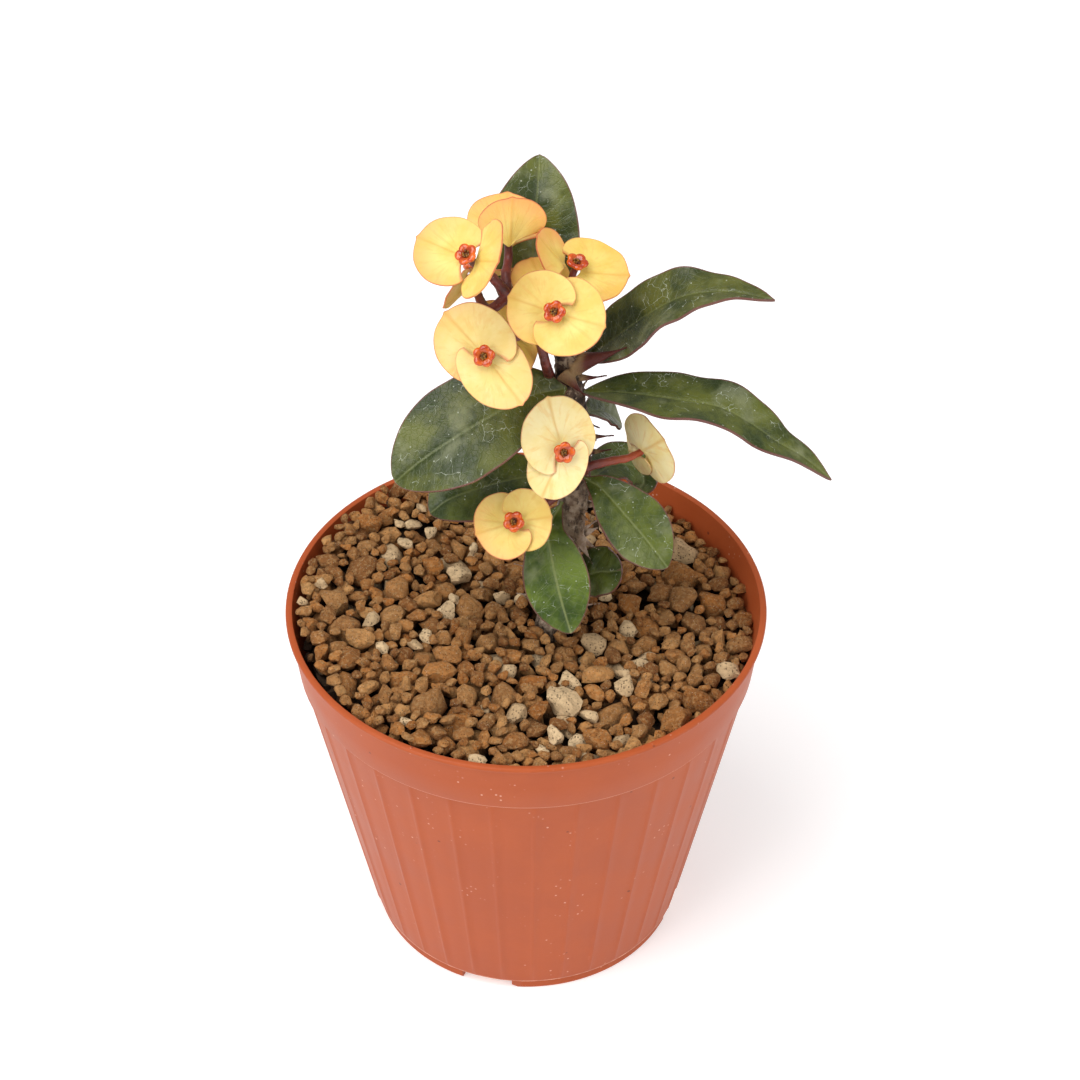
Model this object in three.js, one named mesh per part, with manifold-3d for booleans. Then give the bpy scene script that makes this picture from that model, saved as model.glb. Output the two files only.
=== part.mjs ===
// A young crown-of-thorns plant, in flower, in a round plastic nursery pot of brown grit.
// Millimetres, +Z up. The origin is the middle of the pot's base, on the surface that it stands on.
// The front, where most of the flowers look, is -Y.

import * as THREE from 'three';
import * as BufferGeometryUtils from 'three/addons/utils/BufferGeometryUtils.js';
import Module from 'manifold-3d';

const wasm = await Module();
wasm.setup();

// ---------------------------------------------------------------- driving dimensions

const GAP = 0.3; // kept between pieces that touch

const POT = {
  height: 100,
  rimRadius: 60, // outside of the lip
  lipHeight: 1.3,
  collarTop: 59.3, // outside of the collar, just under the lip
  collarFoot: 57.6,
  collarHeight: 15.4,
  wallTop: 56.7, // outside of the tapered wall, just under the collar
  baseRadius: 41.3,
  wall: 1.3,
  floor: 1.8,
  feet: 4,
  footHeight: 3,
  footRadius: 40.5,
  footWidth: 3,
  footSweep: 72, // degrees of the ring that each foot fills
  footTurn: -59, // the middle of the first foot
  padRadius: 6, // the round pad in the middle of the underside
  drains: 8,
  drainRadius: 3.5,
  drainCircle: 26,
};

const BED = {
  level: 95.6, // the grit's mean height on the pot's axis
  slopeX: -0.055, // it is heaped to the left
  slopeY: -0.008, // and a little to the front
  lump: 0.5, // height of its unevenness
  stepUp: 84, // just under the pot's collar, where the bed's side turns outwards
};

const STEM = {
  route: [[6.5, -1, 74], [6.6, -1, 92], [8.4, 0, 107], [10.7, 0.5, 126], [12.2, 0.5, 141],
    [11.6, 1, 156], [10, 1.5, 168], [9.2, 1.5, 175]],
  footRadius: 4.4,
  tipRadius: 2.8,
  thornPairs: 13,
  firstPair: 0.30, // of the stem's length, where the thorns start above the grit
  thornTurn: 137.5,
};

// The thorns that stand out: where each one roots, where its needle ends, and how broad its base is.
const BIG_THORNS = [
  { root: [11, 0.5, 172.5], tip: [23, -2, 179], base: 3.1 },
  { root: [11, 0, 169], tip: [18.5, -2, 171], base: 1.3 },
  { root: [9, -1, 171], tip: [13.5, -5.5, 168], base: 2.4 },
  { root: [11.5, 0, 152], tip: [20.5, -2, 153.5], base: 1.8 },
  { root: [11.5, -1, 152.5], tip: [16, -6, 151.5], base: 1.6 },
  { root: [10.5, 0, 143], tip: [1, -5, 147], base: 1.8 },
  { root: [10, -1, 124], tip: [17.5, -4.5, 120.5], base: 2.6 },
  { root: [9.5, 0, 127], tip: [4.5, -5.5, 133.5], base: 2.2 },
  { root: [8.5, -1, 110], tip: [-2.5, -5, 116], base: 2 },
  { root: [7.5, -1, 102], tip: [-2, -5, 106.5], base: 1.9 },
  { root: [8, 0, 98.5], tip: [18, -2.5, 101], base: 1.5 },
];

// Leaves: the midrib from base to tip, the full width, where along the midrib it is widest, which
// way the upper side looks at the base and at the tip, the fold along the midrib in degrees, and
// how blunt the tip is (1 is pointed, 0.5 is round).
const LEAVES = {
  leaf_top_back: {
    rib: [[4.5, 5.5, 175], [2, 10, 187], [1.5, 16.5, 197], [2.5, 22, 205.5], [3, 28, 212]],
    width: 22, widest: 0.56, face: [[0, -1, 0.2], [0, -0.8, 0.5]], fold: 10, blunt: 0.7,
  },
  leaf_right_upper: {
    rib: [[15, 4.5, 172], [17.2, 4, 174.5], [22, 3, 179.5], [28.5, 2, 186], [36, 1, 191.3],
      [44.5, -1, 194], [50.5, -3, 194.5], [56, -6, 195]],
    width: 17, widest: 0.42, face: [[-0.2, -0.5, 0.8], [0, 0.1, 1]], fold: 10, blunt: 0.85,
  },
  leaf_right_lower: {
    rib: [[15, -0.5, 165], [21.5, -1, 165.5], [27.5, -2, 165.5], [36, -4, 165.5], [45, -6, 165],
      [52, -8, 162], [58.5, -10, 158], [64.5, -11, 154.5], [71.5, -13, 149]],
    width: 16, widest: 0.42, face: [[0, -0.1, 1], [0.3, -0.2, 1]], fold: 10, blunt: 0.85,
  },
  leaf_left_upper: {
    rib: [[8, -3.5, 168], [1, -6, 168], [-8, -9, 164.5], [-17.5, -12, 159.5], [-25.5, -14, 154],
      [-30.5, -15, 149.5]],
    width: 25, widest: 0.55, face: [[-0.1, -0.6, 0.8], [-0.2, -0.6, 0.8]], fold: 8, blunt: 0.6,
  },
  leaf_left_lower: {
    rib: [[7, 1.5, 139], [-2.5, -1, 139.5], [-11, -4, 139], [-18.5, -6, 137], [-23, -7, 133.5]],
    width: 18, widest: 0.6, face: [[-0.2, -0.5, 0.8], [-0.3, -0.5, 0.8]], fold: 8, blunt: 0.65,
  },
  leaf_front: {
    rib: [[8, -4, 133], [5.5, -8, 129.5], [6.5, -13, 123], [8.5, -18, 116], [11, -22, 108.5]],
    width: 16, widest: 0.6, face: [[0, -0.8, 0.6], [0, -0.7, 0.7]], fold: 8, blunt: 0.7,
  },
  leaf_right_front: {
    rib: [[15, -3.5, 141], [18, -6, 140.5], [23.5, -10, 136], [29.5, -13, 129.5], [34, -15, 123.5]],
    width: 16, widest: 0.58, face: [[0.1, -0.6, 0.8], [0.1, -0.6, 0.8]], fold: 10, blunt: 0.7,
  },
  leaf_small: {
    rib: [[13.5, -3, 110], [17.5, -4.5, 113], [20.5, -6, 114.5], [23.5, -7, 116]],
    width: 13, widest: 0.55, face: [[0, -0.6, 0.8], [0, -0.6, 0.8]], fold: 6, blunt: 0.45,
  },
  leaf_curled: {
    rib: [[16.5, 3.5, 137], [21, 10, 135], [24.5, 13, 133], [28, 14, 130], [29, 13, 127],
      [27, 12, 124.5]],
    width: 12, widest: 0.5, face: [[0, -0.5, 1], [0, -0.5, 0.9]], fold: 6, blunt: 0.7,
  },
  leaf_right_middle: {
    rib: [[14.5, 4.5, 155.5], [18, 9, 152.5], [21, 12, 148.5], [23, 14, 144.5]],
    width: 10, widest: 0.55, face: [[0.2, -0.3, 0.9], [0.3, -0.3, 0.9]], fold: 10, blunt: 0.8,
  },
};
const LEAF_THICK = 0.7;

// Flowers: where the bracts meet, the way the flower looks, which side of each bract passes over
// the other one, and its two bracts. `turn` is the way that a bract points, in degrees about the
// flower's axis from its own x. `lift` bends it up towards the front, `breadth` scales its width,
// and `spread` is how far round the axis its lobes reach.
const FLOWERS = {
  flower_1: {
    at: [-12, -14, 211.2], face: [-0.35, -0.5, 0.8], over: 1,
    bracts: [
      { turn: 151, reach: 12.8, breadth: 0.8, spread: 120 },
      { turn: -24, reach: 8.8, lift: 24, breadth: 1.38, spread: 112 },
    ],
  },
  flower_2: {
    at: [-4, 4, 202.5], face: [0, 0.6, 0.8], over: 1,
    bracts: [
      { turn: -82, reach: 11.5, lift: 62, breadth: 1.2, spread: 66, inset: 2.2 },
      { turn: 92, reach: 14, lift: 58, breadth: 1.15, spread: 66, inset: 2.2 },
    ],
  },
  flower_3: {
    at: [11, 0, 199], face: [0.2, -0.2, 0.95], over: 1,
    bracts: [
      { turn: -2, reach: 10.8, spread: 150 },
      { turn: 166, reach: 10.5, lift: 32, spread: 80, inset: 1.9 },
    ],
  },
  flower_4: {
    at: [6.5, -14, 197], face: [-0.05, -0.76, 0.64], over: -1,
    bracts: [{ turn: -16, reach: 10.2 }, { turn: 161, reach: 9.6 }],
  },
  flower_5: {
    at: [-9, -16, 186.5], face: [-0.1, -0.8, 0.6], over: -1,
    bracts: [{ turn: 133, reach: 12, breadth: 0.84 }, { turn: -52, reach: 12.3, breadth: 0.7 }],
  },
  flower_6: {
    at: [-4, -3, 183], face: [-0.62, 0.41, -0.67], over: 1,
    bracts: [{ turn: -142, reach: 8 }, { turn: 38, reach: 8 }],
  },
  flower_7: {
    at: [-11.5, 2, 195.4], face: [-0.1, 0.75, 0.55], over: 1,
    bracts: [
      { turn: 0, reach: 7.5, breadth: 0.55 },
      { turn: 180, reach: 9, lift: -50, breadth: 0.6, spread: 100 },
    ],
  },
  flower_8: {
    at: [8.5, -15.5, 159.5], face: [0.15, -0.9, 0.45], over: 1,
    bracts: [{ turn: 106, reach: 11.8, breadth: 0.84 }, { turn: -114, reach: 10.6, breadth: 0.72 }],
  },
  flower_9: {
    at: [27.5, 2, 145.5], face: [0.85, 0.5, 0.14], over: 1,
    bracts: [{ turn: -60, reach: 10.5, lift: 8 }, { turn: 130, reach: 9, breadth: 0.8 }],
  },
  flower_10: {
    at: [-2.5, -16, 138.5], face: [-0.1, -0.75, 0.65], over: 1,
    bracts: [{ turn: -162, reach: 8.4, breadth: 1.1 }, { turn: 8, reach: 7.6, breadth: 1.12 }],
  },
  flower_11: {
    at: [5, -3, 195.5], face: [-0.2, 0.2, 0.95], over: 1,
    bracts: [
      { turn: 110, reach: 9, lift: 30, spread: 110 },
      { turn: -70, reach: 4.8, lift: 10, spread: 110 },
    ],
  },
};
const CUP = { radius: 2.6, foot: 0.8, from: 0.95, height: 2, glands: 5, lobe: 0.35 };
const BRACT = {
  thick: 0.45,
  inset: 1.3, // from the flower's axis to the base point
  overlap: 0.5, // how far the halves of a bract part from each other, over and under
  overlapTurn: 30,
  spread: 160,
  round: 0.38,
  dish: 1,
};

// ---------------------------------------------------------------- small helpers

const vec = (p) => new THREE.Vector3(...p);
const degrees = (a) => THREE.MathUtils.degToRad(a);

function closedMesh(positions, triangles) {
  const geometry = new THREE.BufferGeometry();
  const numbers = positions.flatMap((p) => p.toArray());
  geometry.setAttribute('position', new THREE.Float32BufferAttribute(numbers, 3));
  geometry.setIndex(triangles.flat());
  return geometry;
}

function toSolid(geometry) {
  const bare = geometry.clone();
  bare.deleteAttribute('normal');
  bare.deleteAttribute('uv');
  const merged = BufferGeometryUtils.mergeVertices(bare, 1e-4);
  return new wasm.Manifold(new wasm.Mesh({
    numProp: 3,
    vertProperties: Float32Array.from(merged.attributes.position.array),
    triVerts: Uint32Array.from(merged.index.array),
  }));
}

function toGeometry(solid) {
  const mesh = solid.getMesh();
  const geometry = new THREE.BufferGeometry();
  geometry.setAttribute('position', new THREE.BufferAttribute(mesh.vertProperties, 3));
  geometry.setIndex(new THREE.BufferAttribute(mesh.triVerts, 1));
  return geometry;
}

const joinAll = (solids) => solids.reduce((whole, solid) => whole.add(solid));

// A closed round limb along a smooth route. radiusAt gives its radius from 0 at the start to 1 at
// the end; a radius of zero at the end closes it in a point.
function limb(route, radiusAt, sides, steps) {
  const curve = new THREE.CatmullRomCurve3(route.map(vec), false, 'centripetal');
  const frames = curve.computeFrenetFrames(steps, false);
  const positions = [];
  const triangles = [];
  const pointed = radiusAt(1) === 0;
  const rings = pointed ? steps : steps + 1;
  for (let i = 0; i < rings; i += 1) {
    const centre = curve.getPointAt(i / steps);
    for (let j = 0; j < sides; j += 1) {
      const a = (j / sides) * 2 * Math.PI;
      positions.push(centre.clone()
        .addScaledVector(frames.normals[i], radiusAt(i / steps) * Math.cos(a))
        .addScaledVector(frames.binormals[i], radiusAt(i / steps) * Math.sin(a)));
    }
  }
  const first = positions.push(curve.getPointAt(0)) - 1;
  const last = positions.push(curve.getPointAt(1)) - 1;
  for (let j = 0; j < sides; j += 1) {
    const k = (j + 1) % sides;
    triangles.push([first, k, j], [last, (rings - 1) * sides + j, (rings - 1) * sides + k]);
    for (let i = 0; i < rings - 1; i += 1) {
      const a = i * sides;
      const b = a + sides;
      triangles.push([a + j, a + k, b + k], [a + j, b + k, b + j]);
    }
  }
  return closedMesh(positions, triangles);
}

// ---------------------------------------------------------------- pot and grit

// The radius of the pot's inner wall at a height.
function innerRadius(z) {
  const collarFoot = POT.height - POT.collarHeight;
  const [z0, r0, z1, r1] = z < collarFoot
    ? [POT.footHeight, POT.baseRadius, collarFoot, POT.wallTop]
    : [collarFoot, POT.wallTop, POT.height, POT.rimRadius - 0.4];
  return r0 + ((r1 - r0) * (z - z0)) / (z1 - z0) - POT.wall;
}

function footShape(middle) {
  const half = degrees(POT.footSweep / 2);
  const from = degrees(middle) - half;
  const to = degrees(middle) + half;
  const shape = new THREE.Shape();
  shape.absarc(0, 0, POT.footRadius, from, to, false);
  shape.absarc(0, 0, POT.footRadius - POT.footWidth, to, from, true);
  return shape;
}

function pot() {
  const collarFoot = POT.height - POT.collarHeight;
  const floorTop = POT.footHeight + POT.floor;
  const profile = [
    [0, POT.footHeight], [POT.baseRadius - 0.6, POT.footHeight], [POT.baseRadius, POT.footHeight + 0.8],
    [POT.wallTop, collarFoot], [POT.collarFoot, collarFoot + 0.3],
    [POT.collarTop, POT.height - POT.lipHeight], [POT.rimRadius, POT.height - POT.lipHeight + 0.4],
    [POT.rimRadius, POT.height - 0.3], [POT.rimRadius - 0.4, POT.height],
    [innerRadius(POT.height), POT.height], [innerRadius(collarFoot), collarFoot],
    [innerRadius(floorTop) - 0.6, floorTop + 0.6], [innerRadius(floorTop) - 1.4, floorTop], [0, floorTop],
  ].map(([r, z]) => new THREE.Vector2(r, z));
  const shell = toSolid(new THREE.LatheGeometry(profile, 60).rotateX(Math.PI / 2));

  const feet = [];
  for (let i = 0; i < POT.feet; i += 1) {
    const shape = footShape(POT.footTurn + (i * 360) / POT.feet);
    const form = { depth: POT.footHeight + 0.5, bevelEnabled: false, curveSegments: 10 };
    feet.push(toSolid(new THREE.ExtrudeGeometry(shape, form)));
  }
  const pad = new THREE.CylinderGeometry(POT.padRadius, POT.padRadius, POT.footHeight + 0.5, 24)
    .rotateX(Math.PI / 2).translate(0, 0, (POT.footHeight + 0.5) / 2);
  const drains = [];
  for (let i = 0; i < POT.drains; i += 1) {
    const a = degrees((i * 360) / POT.drains);
    drains.push(toSolid(new THREE.CylinderGeometry(POT.drainRadius, POT.drainRadius, 12, 12)
      .rotateX(Math.PI / 2)
      .translate(POT.drainCircle * Math.cos(a), POT.drainCircle * Math.sin(a), POT.footHeight)));
  }
  return toGeometry(shell.add(joinAll(feet)).add(toSolid(pad)).subtract(joinAll(drains)));
}

function bedHeight(x, y) {
  const lumps = Math.sin(x * 0.21 + 1) * Math.cos(y * 0.17) + 0.6 * Math.sin(x * 0.09 - y * 0.23);
  return BED.level + BED.slopeX * x + BED.slopeY * y + BED.lump * lumps;
}

// The grit: its sides follow the pot's inner wall, and its top is an uneven heap.
function gravelBed() {
  const around = 48;
  const shares = [1, 0.8, 0.6, 0.4, 0.2];
  const floorTop = POT.footHeight + POT.floor + GAP;
  const positions = [];
  const triangles = [];
  const ring = (r, heightAt) => {
    const start = positions.length;
    for (let j = 0; j < around; j += 1) {
      const a = (j / around) * 2 * Math.PI;
      const [x, y] = [r * Math.cos(a), r * Math.sin(a)];
      positions.push(new THREE.Vector3(x, y, heightAt(x, y)));
    }
    return start;
  };
  const strip = (a, b) => {
    for (let j = 0; j < around; j += 1) {
      const k = (j + 1) % around;
      triangles.push([a + j, a + k, b + k], [a + j, b + k, b + j]);
    }
  };
  const edge = innerRadius(BED.level - 3) - GAP - 0.3;
  const starts = [
    ring(innerRadius(floorTop) - GAP - 2.2, () => floorTop),
    ring(innerRadius(floorTop + 4) - GAP - 1, () => floorTop + 4),
    ring(innerRadius(BED.stepUp) - GAP - 0.3, () => BED.stepUp),
    ...shares.map((share) => ring(edge * share, bedHeight)),
  ];
  for (let i = 0; i < starts.length - 1; i += 1) strip(starts[i], starts[i + 1]);
  const bottom = positions.push(new THREE.Vector3(0, 0, floorTop)) - 1;
  const top = positions.push(new THREE.Vector3(0, 0, bedHeight(0, 0))) - 1;
  const inner = starts[starts.length - 1];
  for (let j = 0; j < around; j += 1) {
    const k = (j + 1) % around;
    triangles.push([bottom, starts[0] + k, starts[0] + j], [top, inner + j, inner + k]);
  }
  const [foot, ground] = STEM.route;
  const socketRoute = [[foot[0], foot[1], foot[2] - GAP], ground, [6.9, -0.9, 99]];
  const socket = toSolid(limb(socketRoute, () => STEM.footRadius + 2 * GAP, 16, 6));
  return toGeometry(toSolid(closedMesh(positions, triangles)).subtract(socket));
}

// ---------------------------------------------------------------- stem

function thorn(root, tip, base) {
  const middle = root.map((c, i) => c * 0.45 + tip[i] * 0.55 - (i === 2 ? 0.4 : 0));
  return toSolid(limb([root, middle, tip], (t) => base * (1 - t) ** 1.7, 6, 4));
}

function stem() {
  const radiusAt = (t) => STEM.footRadius + (STEM.tipRadius - STEM.footRadius) * t;
  const curve = new THREE.CatmullRomCurve3(STEM.route.map(vec), false, 'centripetal');
  const solids = [toSolid(limb(STEM.route, radiusAt, 12, 16))];
  for (let i = 0; i < STEM.thornPairs; i += 1) {
    const t = STEM.firstPair + ((0.98 - STEM.firstPair) * i) / STEM.thornPairs;
    const centre = curve.getPointAt(t);
    for (const side of [-0.35, 0.35]) {
      const a = degrees(i * STEM.thornTurn) + side;
      const outward = new THREE.Vector3(Math.cos(a), Math.sin(a), 0.15 + 0.1 * Math.sin(3 * i));
      const length = radiusAt(t) + 3.5 + 1.5 * Math.sin(5 * i + side * 4);
      const tip = centre.clone().addScaledVector(outward, length);
      solids.push(thorn(centre.toArray(), tip.toArray(), 1.9));
    }
  }
  for (const { root, tip, base } of BIG_THORNS) solids.push(thorn(root, tip, base));
  return toGeometry(joinAll(solids));
}

// ---------------------------------------------------------------- leaves

// A leaf is rows of points from base to tip. Each row has two margin points, five points on the
// upper side and three on the underside; the base and the tip are single points.
function leaf({ rib, width, widest, face, fold, blunt }) {
  const rows = 9;
  const upper = [-0.7, -0.35, 0, 0.35, 0.7];
  const lower = [0.55, 0, -0.55];
  const curve = new THREE.CatmullRomCurve3(rib.map(vec), false, 'centripetal');
  const power = Math.log(0.5) / Math.log(widest);
  const halfWidth = (s) => (width / 2) * Math.sin(Math.PI * s ** power) ** blunt;
  const positions = [];
  const triangles = [];
  for (let i = 1; i <= rows; i += 1) {
    const s = i / (rows + 1);
    const centre = curve.getPointAt(s);
    const along = curve.getTangentAt(s);
    const side = along.clone().cross(vec(face[0]).lerp(vec(face[1]), s)).normalize();
    const up = side.clone().cross(along);
    const point = (t, thick) => centre.clone()
      .addScaledVector(side, t * halfWidth(s) * Math.cos(degrees(fold)))
      .addScaledVector(up, Math.abs(t) * halfWidth(s) * Math.sin(degrees(fold)) + thick);
    positions.push(point(-1, 0), ...upper.map((t) => point(t, LEAF_THICK / 2)));
    positions.push(point(1, 0), ...lower.map((t) => point(t, -LEAF_THICK / 2)));
  }
  const count = upper.length + lower.length + 2;
  const base = positions.push(curve.getPointAt(0)) - 1;
  const tip = positions.push(curve.getPointAt(1)) - 1;
  for (let j = 0; j < count; j += 1) {
    const k = (j + 1) % count;
    triangles.push([base, k, j], [tip, (rows - 1) * count + j, (rows - 1) * count + k]);
    for (let i = 0; i < rows - 1; i += 1) {
      const a = i * count;
      const b = a + count;
      triangles.push([a + j, b + k, b + j], [a + j, a + k, b + k]);
    }
  }
  return closedMesh(positions, triangles);
}

// ---------------------------------------------------------------- flowers

// A flower's own axes: z is the way that it looks, and x lies as near to the plant's +X as it can.
function flowerFrame({ at, face }) {
  const z = vec(face).normalize();
  const x = new THREE.Vector3(1, 0, 0).addScaledVector(z, -z.x).normalize();
  const y = z.clone().cross(x);
  return new THREE.Matrix4().makeBasis(x, y, z).setPosition(vec(at));
}

// The cup: a flared round body with five lobed glands round its mouth.
function cup() {
  const at = (share) => CUP.from + CUP.height * share;
  const profile = [[0, at(0)], [CUP.foot, at(0)], [CUP.radius * 0.9, at(0.6)], [CUP.radius, at(0.8)],
    [CUP.radius * 0.8, at(1)], [CUP.radius * 0.35, at(0.75)], [0, at(0.65)]]
    .map(([r, z]) => new THREE.Vector2(r, z));
  const geometry = new THREE.LatheGeometry(profile, CUP.glands * 3).rotateX(Math.PI / 2);
  const place = geometry.attributes.position;
  for (let i = 0; i < place.count; i += 1) {
    const [x, y] = [place.getX(i), place.getY(i)];
    const lobe = Math.hypot(x, y) > CUP.foot + 0.1 ? CUP.lobe / CUP.radius : 0;
    const grow = 1 + lobe * Math.cos(CUP.glands * Math.atan2(y, x));
    place.setXY(i, x * grow, y * grow);
  }
  return geometry;
}

// A bract is a fan of rays from its base point. Its upper side and its underside each have inner
// rings of points, and they share the margin. One half passes over the other bract and one under
// it, and the fan is narrower near the axis, where it goes round the cup's foot.
function bract(shape, over) {
  const { turn, reach, lift, breadth, spread, inset } = { ...BRACT, lift: 0, breadth: 1, ...shape };
  const rays = 14;
  const rings = [0.4, 0.75, 1];
  const count = rays - 1;
  const positions = [];
  const triangles = [];
  const place = (f, ray, thick) => {
    const t = (2 * ray) / rays - 1;
    const a = degrees(spread) * t * (0.6 + 0.4 * Math.sqrt(f));
    const r = f * reach * Math.cos(t * (Math.PI / 2)) ** BRACT.round;
    const [x, y] = [r * Math.cos(a), r * Math.sin(a) * breadth];
    const side = THREE.MathUtils.clamp(a / degrees(BRACT.overlapTurn), -1, 1);
    const parting = BRACT.overlap * over * side * Math.min(1, r / 1.6);
    const level = BRACT.dish * (r / reach) ** 2 + parting + thick;
    const bend = x > 0 ? degrees(lift) : 0;
    const open = new THREE.Vector3(inset + x * Math.cos(bend) - level * Math.sin(bend), y,
      x * Math.sin(bend) + level * Math.cos(bend));
    return open.applyAxisAngle(new THREE.Vector3(0, 0, 1), degrees(turn));
  };
  const half = BRACT.thick / 2;
  const ring = (f, thick) => {
    for (let i = 1; i <= count; i += 1) positions.push(place(f, i, thick));
    return positions.length - count;
  };
  const upper = [ring(rings[0], half), ring(rings[1], half)];
  const lower = [ring(rings[0], -half), ring(rings[1], -half)];
  const margin = ring(rings[2], 0);
  const pole = positions.push(place(0, rays / 2, 0)) - 1;
  const strip = (a, b) => {
    for (let i = 0; i < count - 1; i += 1) {
      triangles.push([a + i, b + i, b + i + 1], [a + i, b + i + 1, a + i + 1]);
    }
  };
  for (let i = 0; i < count - 1; i += 1) {
    triangles.push([pole, upper[0] + i, upper[0] + i + 1], [pole, lower[0] + i + 1, lower[0] + i]);
  }
  strip(upper[0], upper[1]);
  strip(upper[1], margin);
  strip(lower[1], lower[0]);
  strip(margin, lower[1]);
  // the thin walls along the first and the last ray
  const e = count - 1;
  triangles.push([pole, lower[0], upper[0]], [upper[0], lower[0], lower[1]], [upper[0], lower[1], upper[1]],
    [upper[1], lower[1], margin]);
  triangles.push([pole, upper[0] + e, lower[0] + e], [upper[0] + e, lower[1] + e, lower[0] + e],
    [upper[0] + e, upper[1] + e, lower[1] + e], [upper[1] + e, margin + e, lower[1] + e]);
  return closedMesh(positions, triangles);
}

// ---------------------------------------------------------------- flower stalks

// Each cluster of stalks grew as one piece. A branch that ends under a flower names it.
const STALKS = {
  stalk_top: {
    radius: 1.3,
    branches: [
      { route: [[5.2, -1.5, 171.5], [4.5, -4, 176], [3, -5, 183], [-1, -6, 191], [-4, -6, 196]] },
      { route: [[-4, -6, 196], [-7.5, -8, 202.5]], flower: 'flower_1' },
      { route: [[-4, -6, 196], [-4.5, -3, 199]], flower: 'flower_2' },
      { route: [[3, -5, 183], [4, -8, 188]], flower: 'flower_4' },
      { route: [[1.5, -5.5, 186], [-3, -9, 186.5]], flower: 'flower_5' },
      { route: [[1.5, -5.5, 186], [-1.5, -7.5, 187.5]], flower: 'flower_6' },
      { route: [[-4, -6, 196], [-8, -8.5, 194]], flower: 'flower_7' },
    ],
  },
  stalk_back: {
    radius: 1.2,
    branches: [
      { route: [[10, 2, 177], [10.5, 2.5, 184], [10.5, 1, 193]], flower: 'flower_3' },
      { route: [[10.3, 2.3, 182], [7.5, 0, 187]], flower: 'flower_11' },
    ],
  },
  stalk_low: {
    radius: 1.2,
    branches: [
      { route: [[13.5, -4.6, 145.5], [12.5, -8, 150]], flower: 'flower_8' },
      { route: [[13.5, -4.6, 145.5], [18, -3, 146]], flower: 'flower_9' },
    ],
  },
  stalk_front: {
    radius: 1.1,
    branches: [{ route: [[7.5, -3, 136], [3.5, -7, 135.5]], flower: 'flower_10' }],
  },
};

// A stalk meets its flower squarely from behind, and ends just under the cup.
function underFlower(name) {
  return [-3, CUP.from - GAP]
    .map((z) => new THREE.Vector3(0, 0, z).applyMatrix4(flowerFrame(FLOWERS[name])).toArray());
}

function stalks({ radius, branches }) {
  return toGeometry(joinAll(branches.map(({ route, flower }) => {
    const end = flower ? underFlower(flower) : [];
    return toSolid(limb([...route, ...end], (t) => radius * (1 - 0.3 * t), 8, 8));
  })));
}

// ---------------------------------------------------------------- the whole plant

const whole = new THREE.Group();

function add(name, geometry, colour, roughness, parent = whole) {
  const material = new THREE.MeshStandardMaterial({ color: colour, roughness, metalness: 0 });
  const mesh = new THREE.Mesh(geometry, material);
  mesh.name = name;
  parent.add(mesh);
}

add('pot', pot(), 0xc0694a, 0.45);
add('gravel_bed', gravelBed(), 0x8a6238, 0.95);
add('stem', stem(), 0x4a3a30, 0.9);
for (const [name, shape] of Object.entries(LEAVES)) add(name, leaf(shape), 0x3f5030, 0.45);
for (const [name, shape] of Object.entries(STALKS)) add(name, stalks(shape), 0x6a2018, 0.5);
for (const [name, flower] of Object.entries(FLOWERS)) {
  const head = new THREE.Group();
  head.applyMatrix4(flowerFrame(flower));
  add(`${name}_cup`, cup(), 0xc0401a, 0.3, head);
  flower.bracts.forEach((shape, i) => {
    add(`${name}_bract_${'ab'[i]}`, bract(shape, flower.over), 0xe8cc6a, 0.6, head);
  });
  whole.add(head);
}

export default whole;
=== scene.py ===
# A young crown-of-thorns plant, in flower, in a ribbed plastic nursery pot of brown grit.
# Metres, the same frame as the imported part: +Z up, the front is -Y. Sizes in the tables are in
# millimetres, as a grower would measure them, and MM turns them into metres.

import math

import bmesh
import bpy
import numpy as np
from mathutils import Matrix, Vector, noise


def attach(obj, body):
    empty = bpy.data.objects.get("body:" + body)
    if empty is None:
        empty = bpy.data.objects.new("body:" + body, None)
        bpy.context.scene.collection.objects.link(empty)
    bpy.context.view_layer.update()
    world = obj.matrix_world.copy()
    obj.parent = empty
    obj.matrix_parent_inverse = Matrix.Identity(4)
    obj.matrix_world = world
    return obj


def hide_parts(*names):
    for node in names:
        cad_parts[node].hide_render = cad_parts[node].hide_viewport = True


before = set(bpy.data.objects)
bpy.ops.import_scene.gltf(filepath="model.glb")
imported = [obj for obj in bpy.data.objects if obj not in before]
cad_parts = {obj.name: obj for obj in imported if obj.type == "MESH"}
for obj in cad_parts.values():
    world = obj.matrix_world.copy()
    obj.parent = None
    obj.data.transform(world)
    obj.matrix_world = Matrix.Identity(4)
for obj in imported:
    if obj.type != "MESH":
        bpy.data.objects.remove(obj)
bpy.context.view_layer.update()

MM = 0.001


# ------------------------------------------------------------------ the plant's measures

POT = dict(height=100, rim=60, lip=1.3, collar_top=59.3, collar_foot=57.6, collar=15.4,
           wall_top=56.7, base=41.3, wall=1.3, floor=1.8, foot=3, foot_outer=40.5, foot_inner=37.5,
           foot_sweep=72, foot_turn=-59, pad=6, drain=3.5, drain_circle=26)
RIBS = 34
RIB_COLUMNS = 8  # points round the wall for each rib
FIRST_RIB = -87.6  # degrees
BED = dict(level=95.6, slope_x=-0.055, slope_y=-0.008)
GRAIN_SIZE = dict(middle=2.3, spread=0.34, least=1.2, most=4.4)  # half lengths, before stretching
HEAP_CELL = 0.4
HEAP_HALF = 61.0
HEAP_DEPTH = 8.5  # the lowest grains start this far under the heap's top
STEM_FOOT = 4.4  # radius
STEM_TAPER = 1.6
STEM_STEPS = 200
STEM_ROUTE = [(6.5, -1, 74), (6.6, -1, 92), (8.4, 0, 107), (10.7, 0.5, 126), (12.2, 0.5, 141),
              (11.6, 1, 156), (10, 1.5, 168), (9.2, 1.5, 175)]
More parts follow.
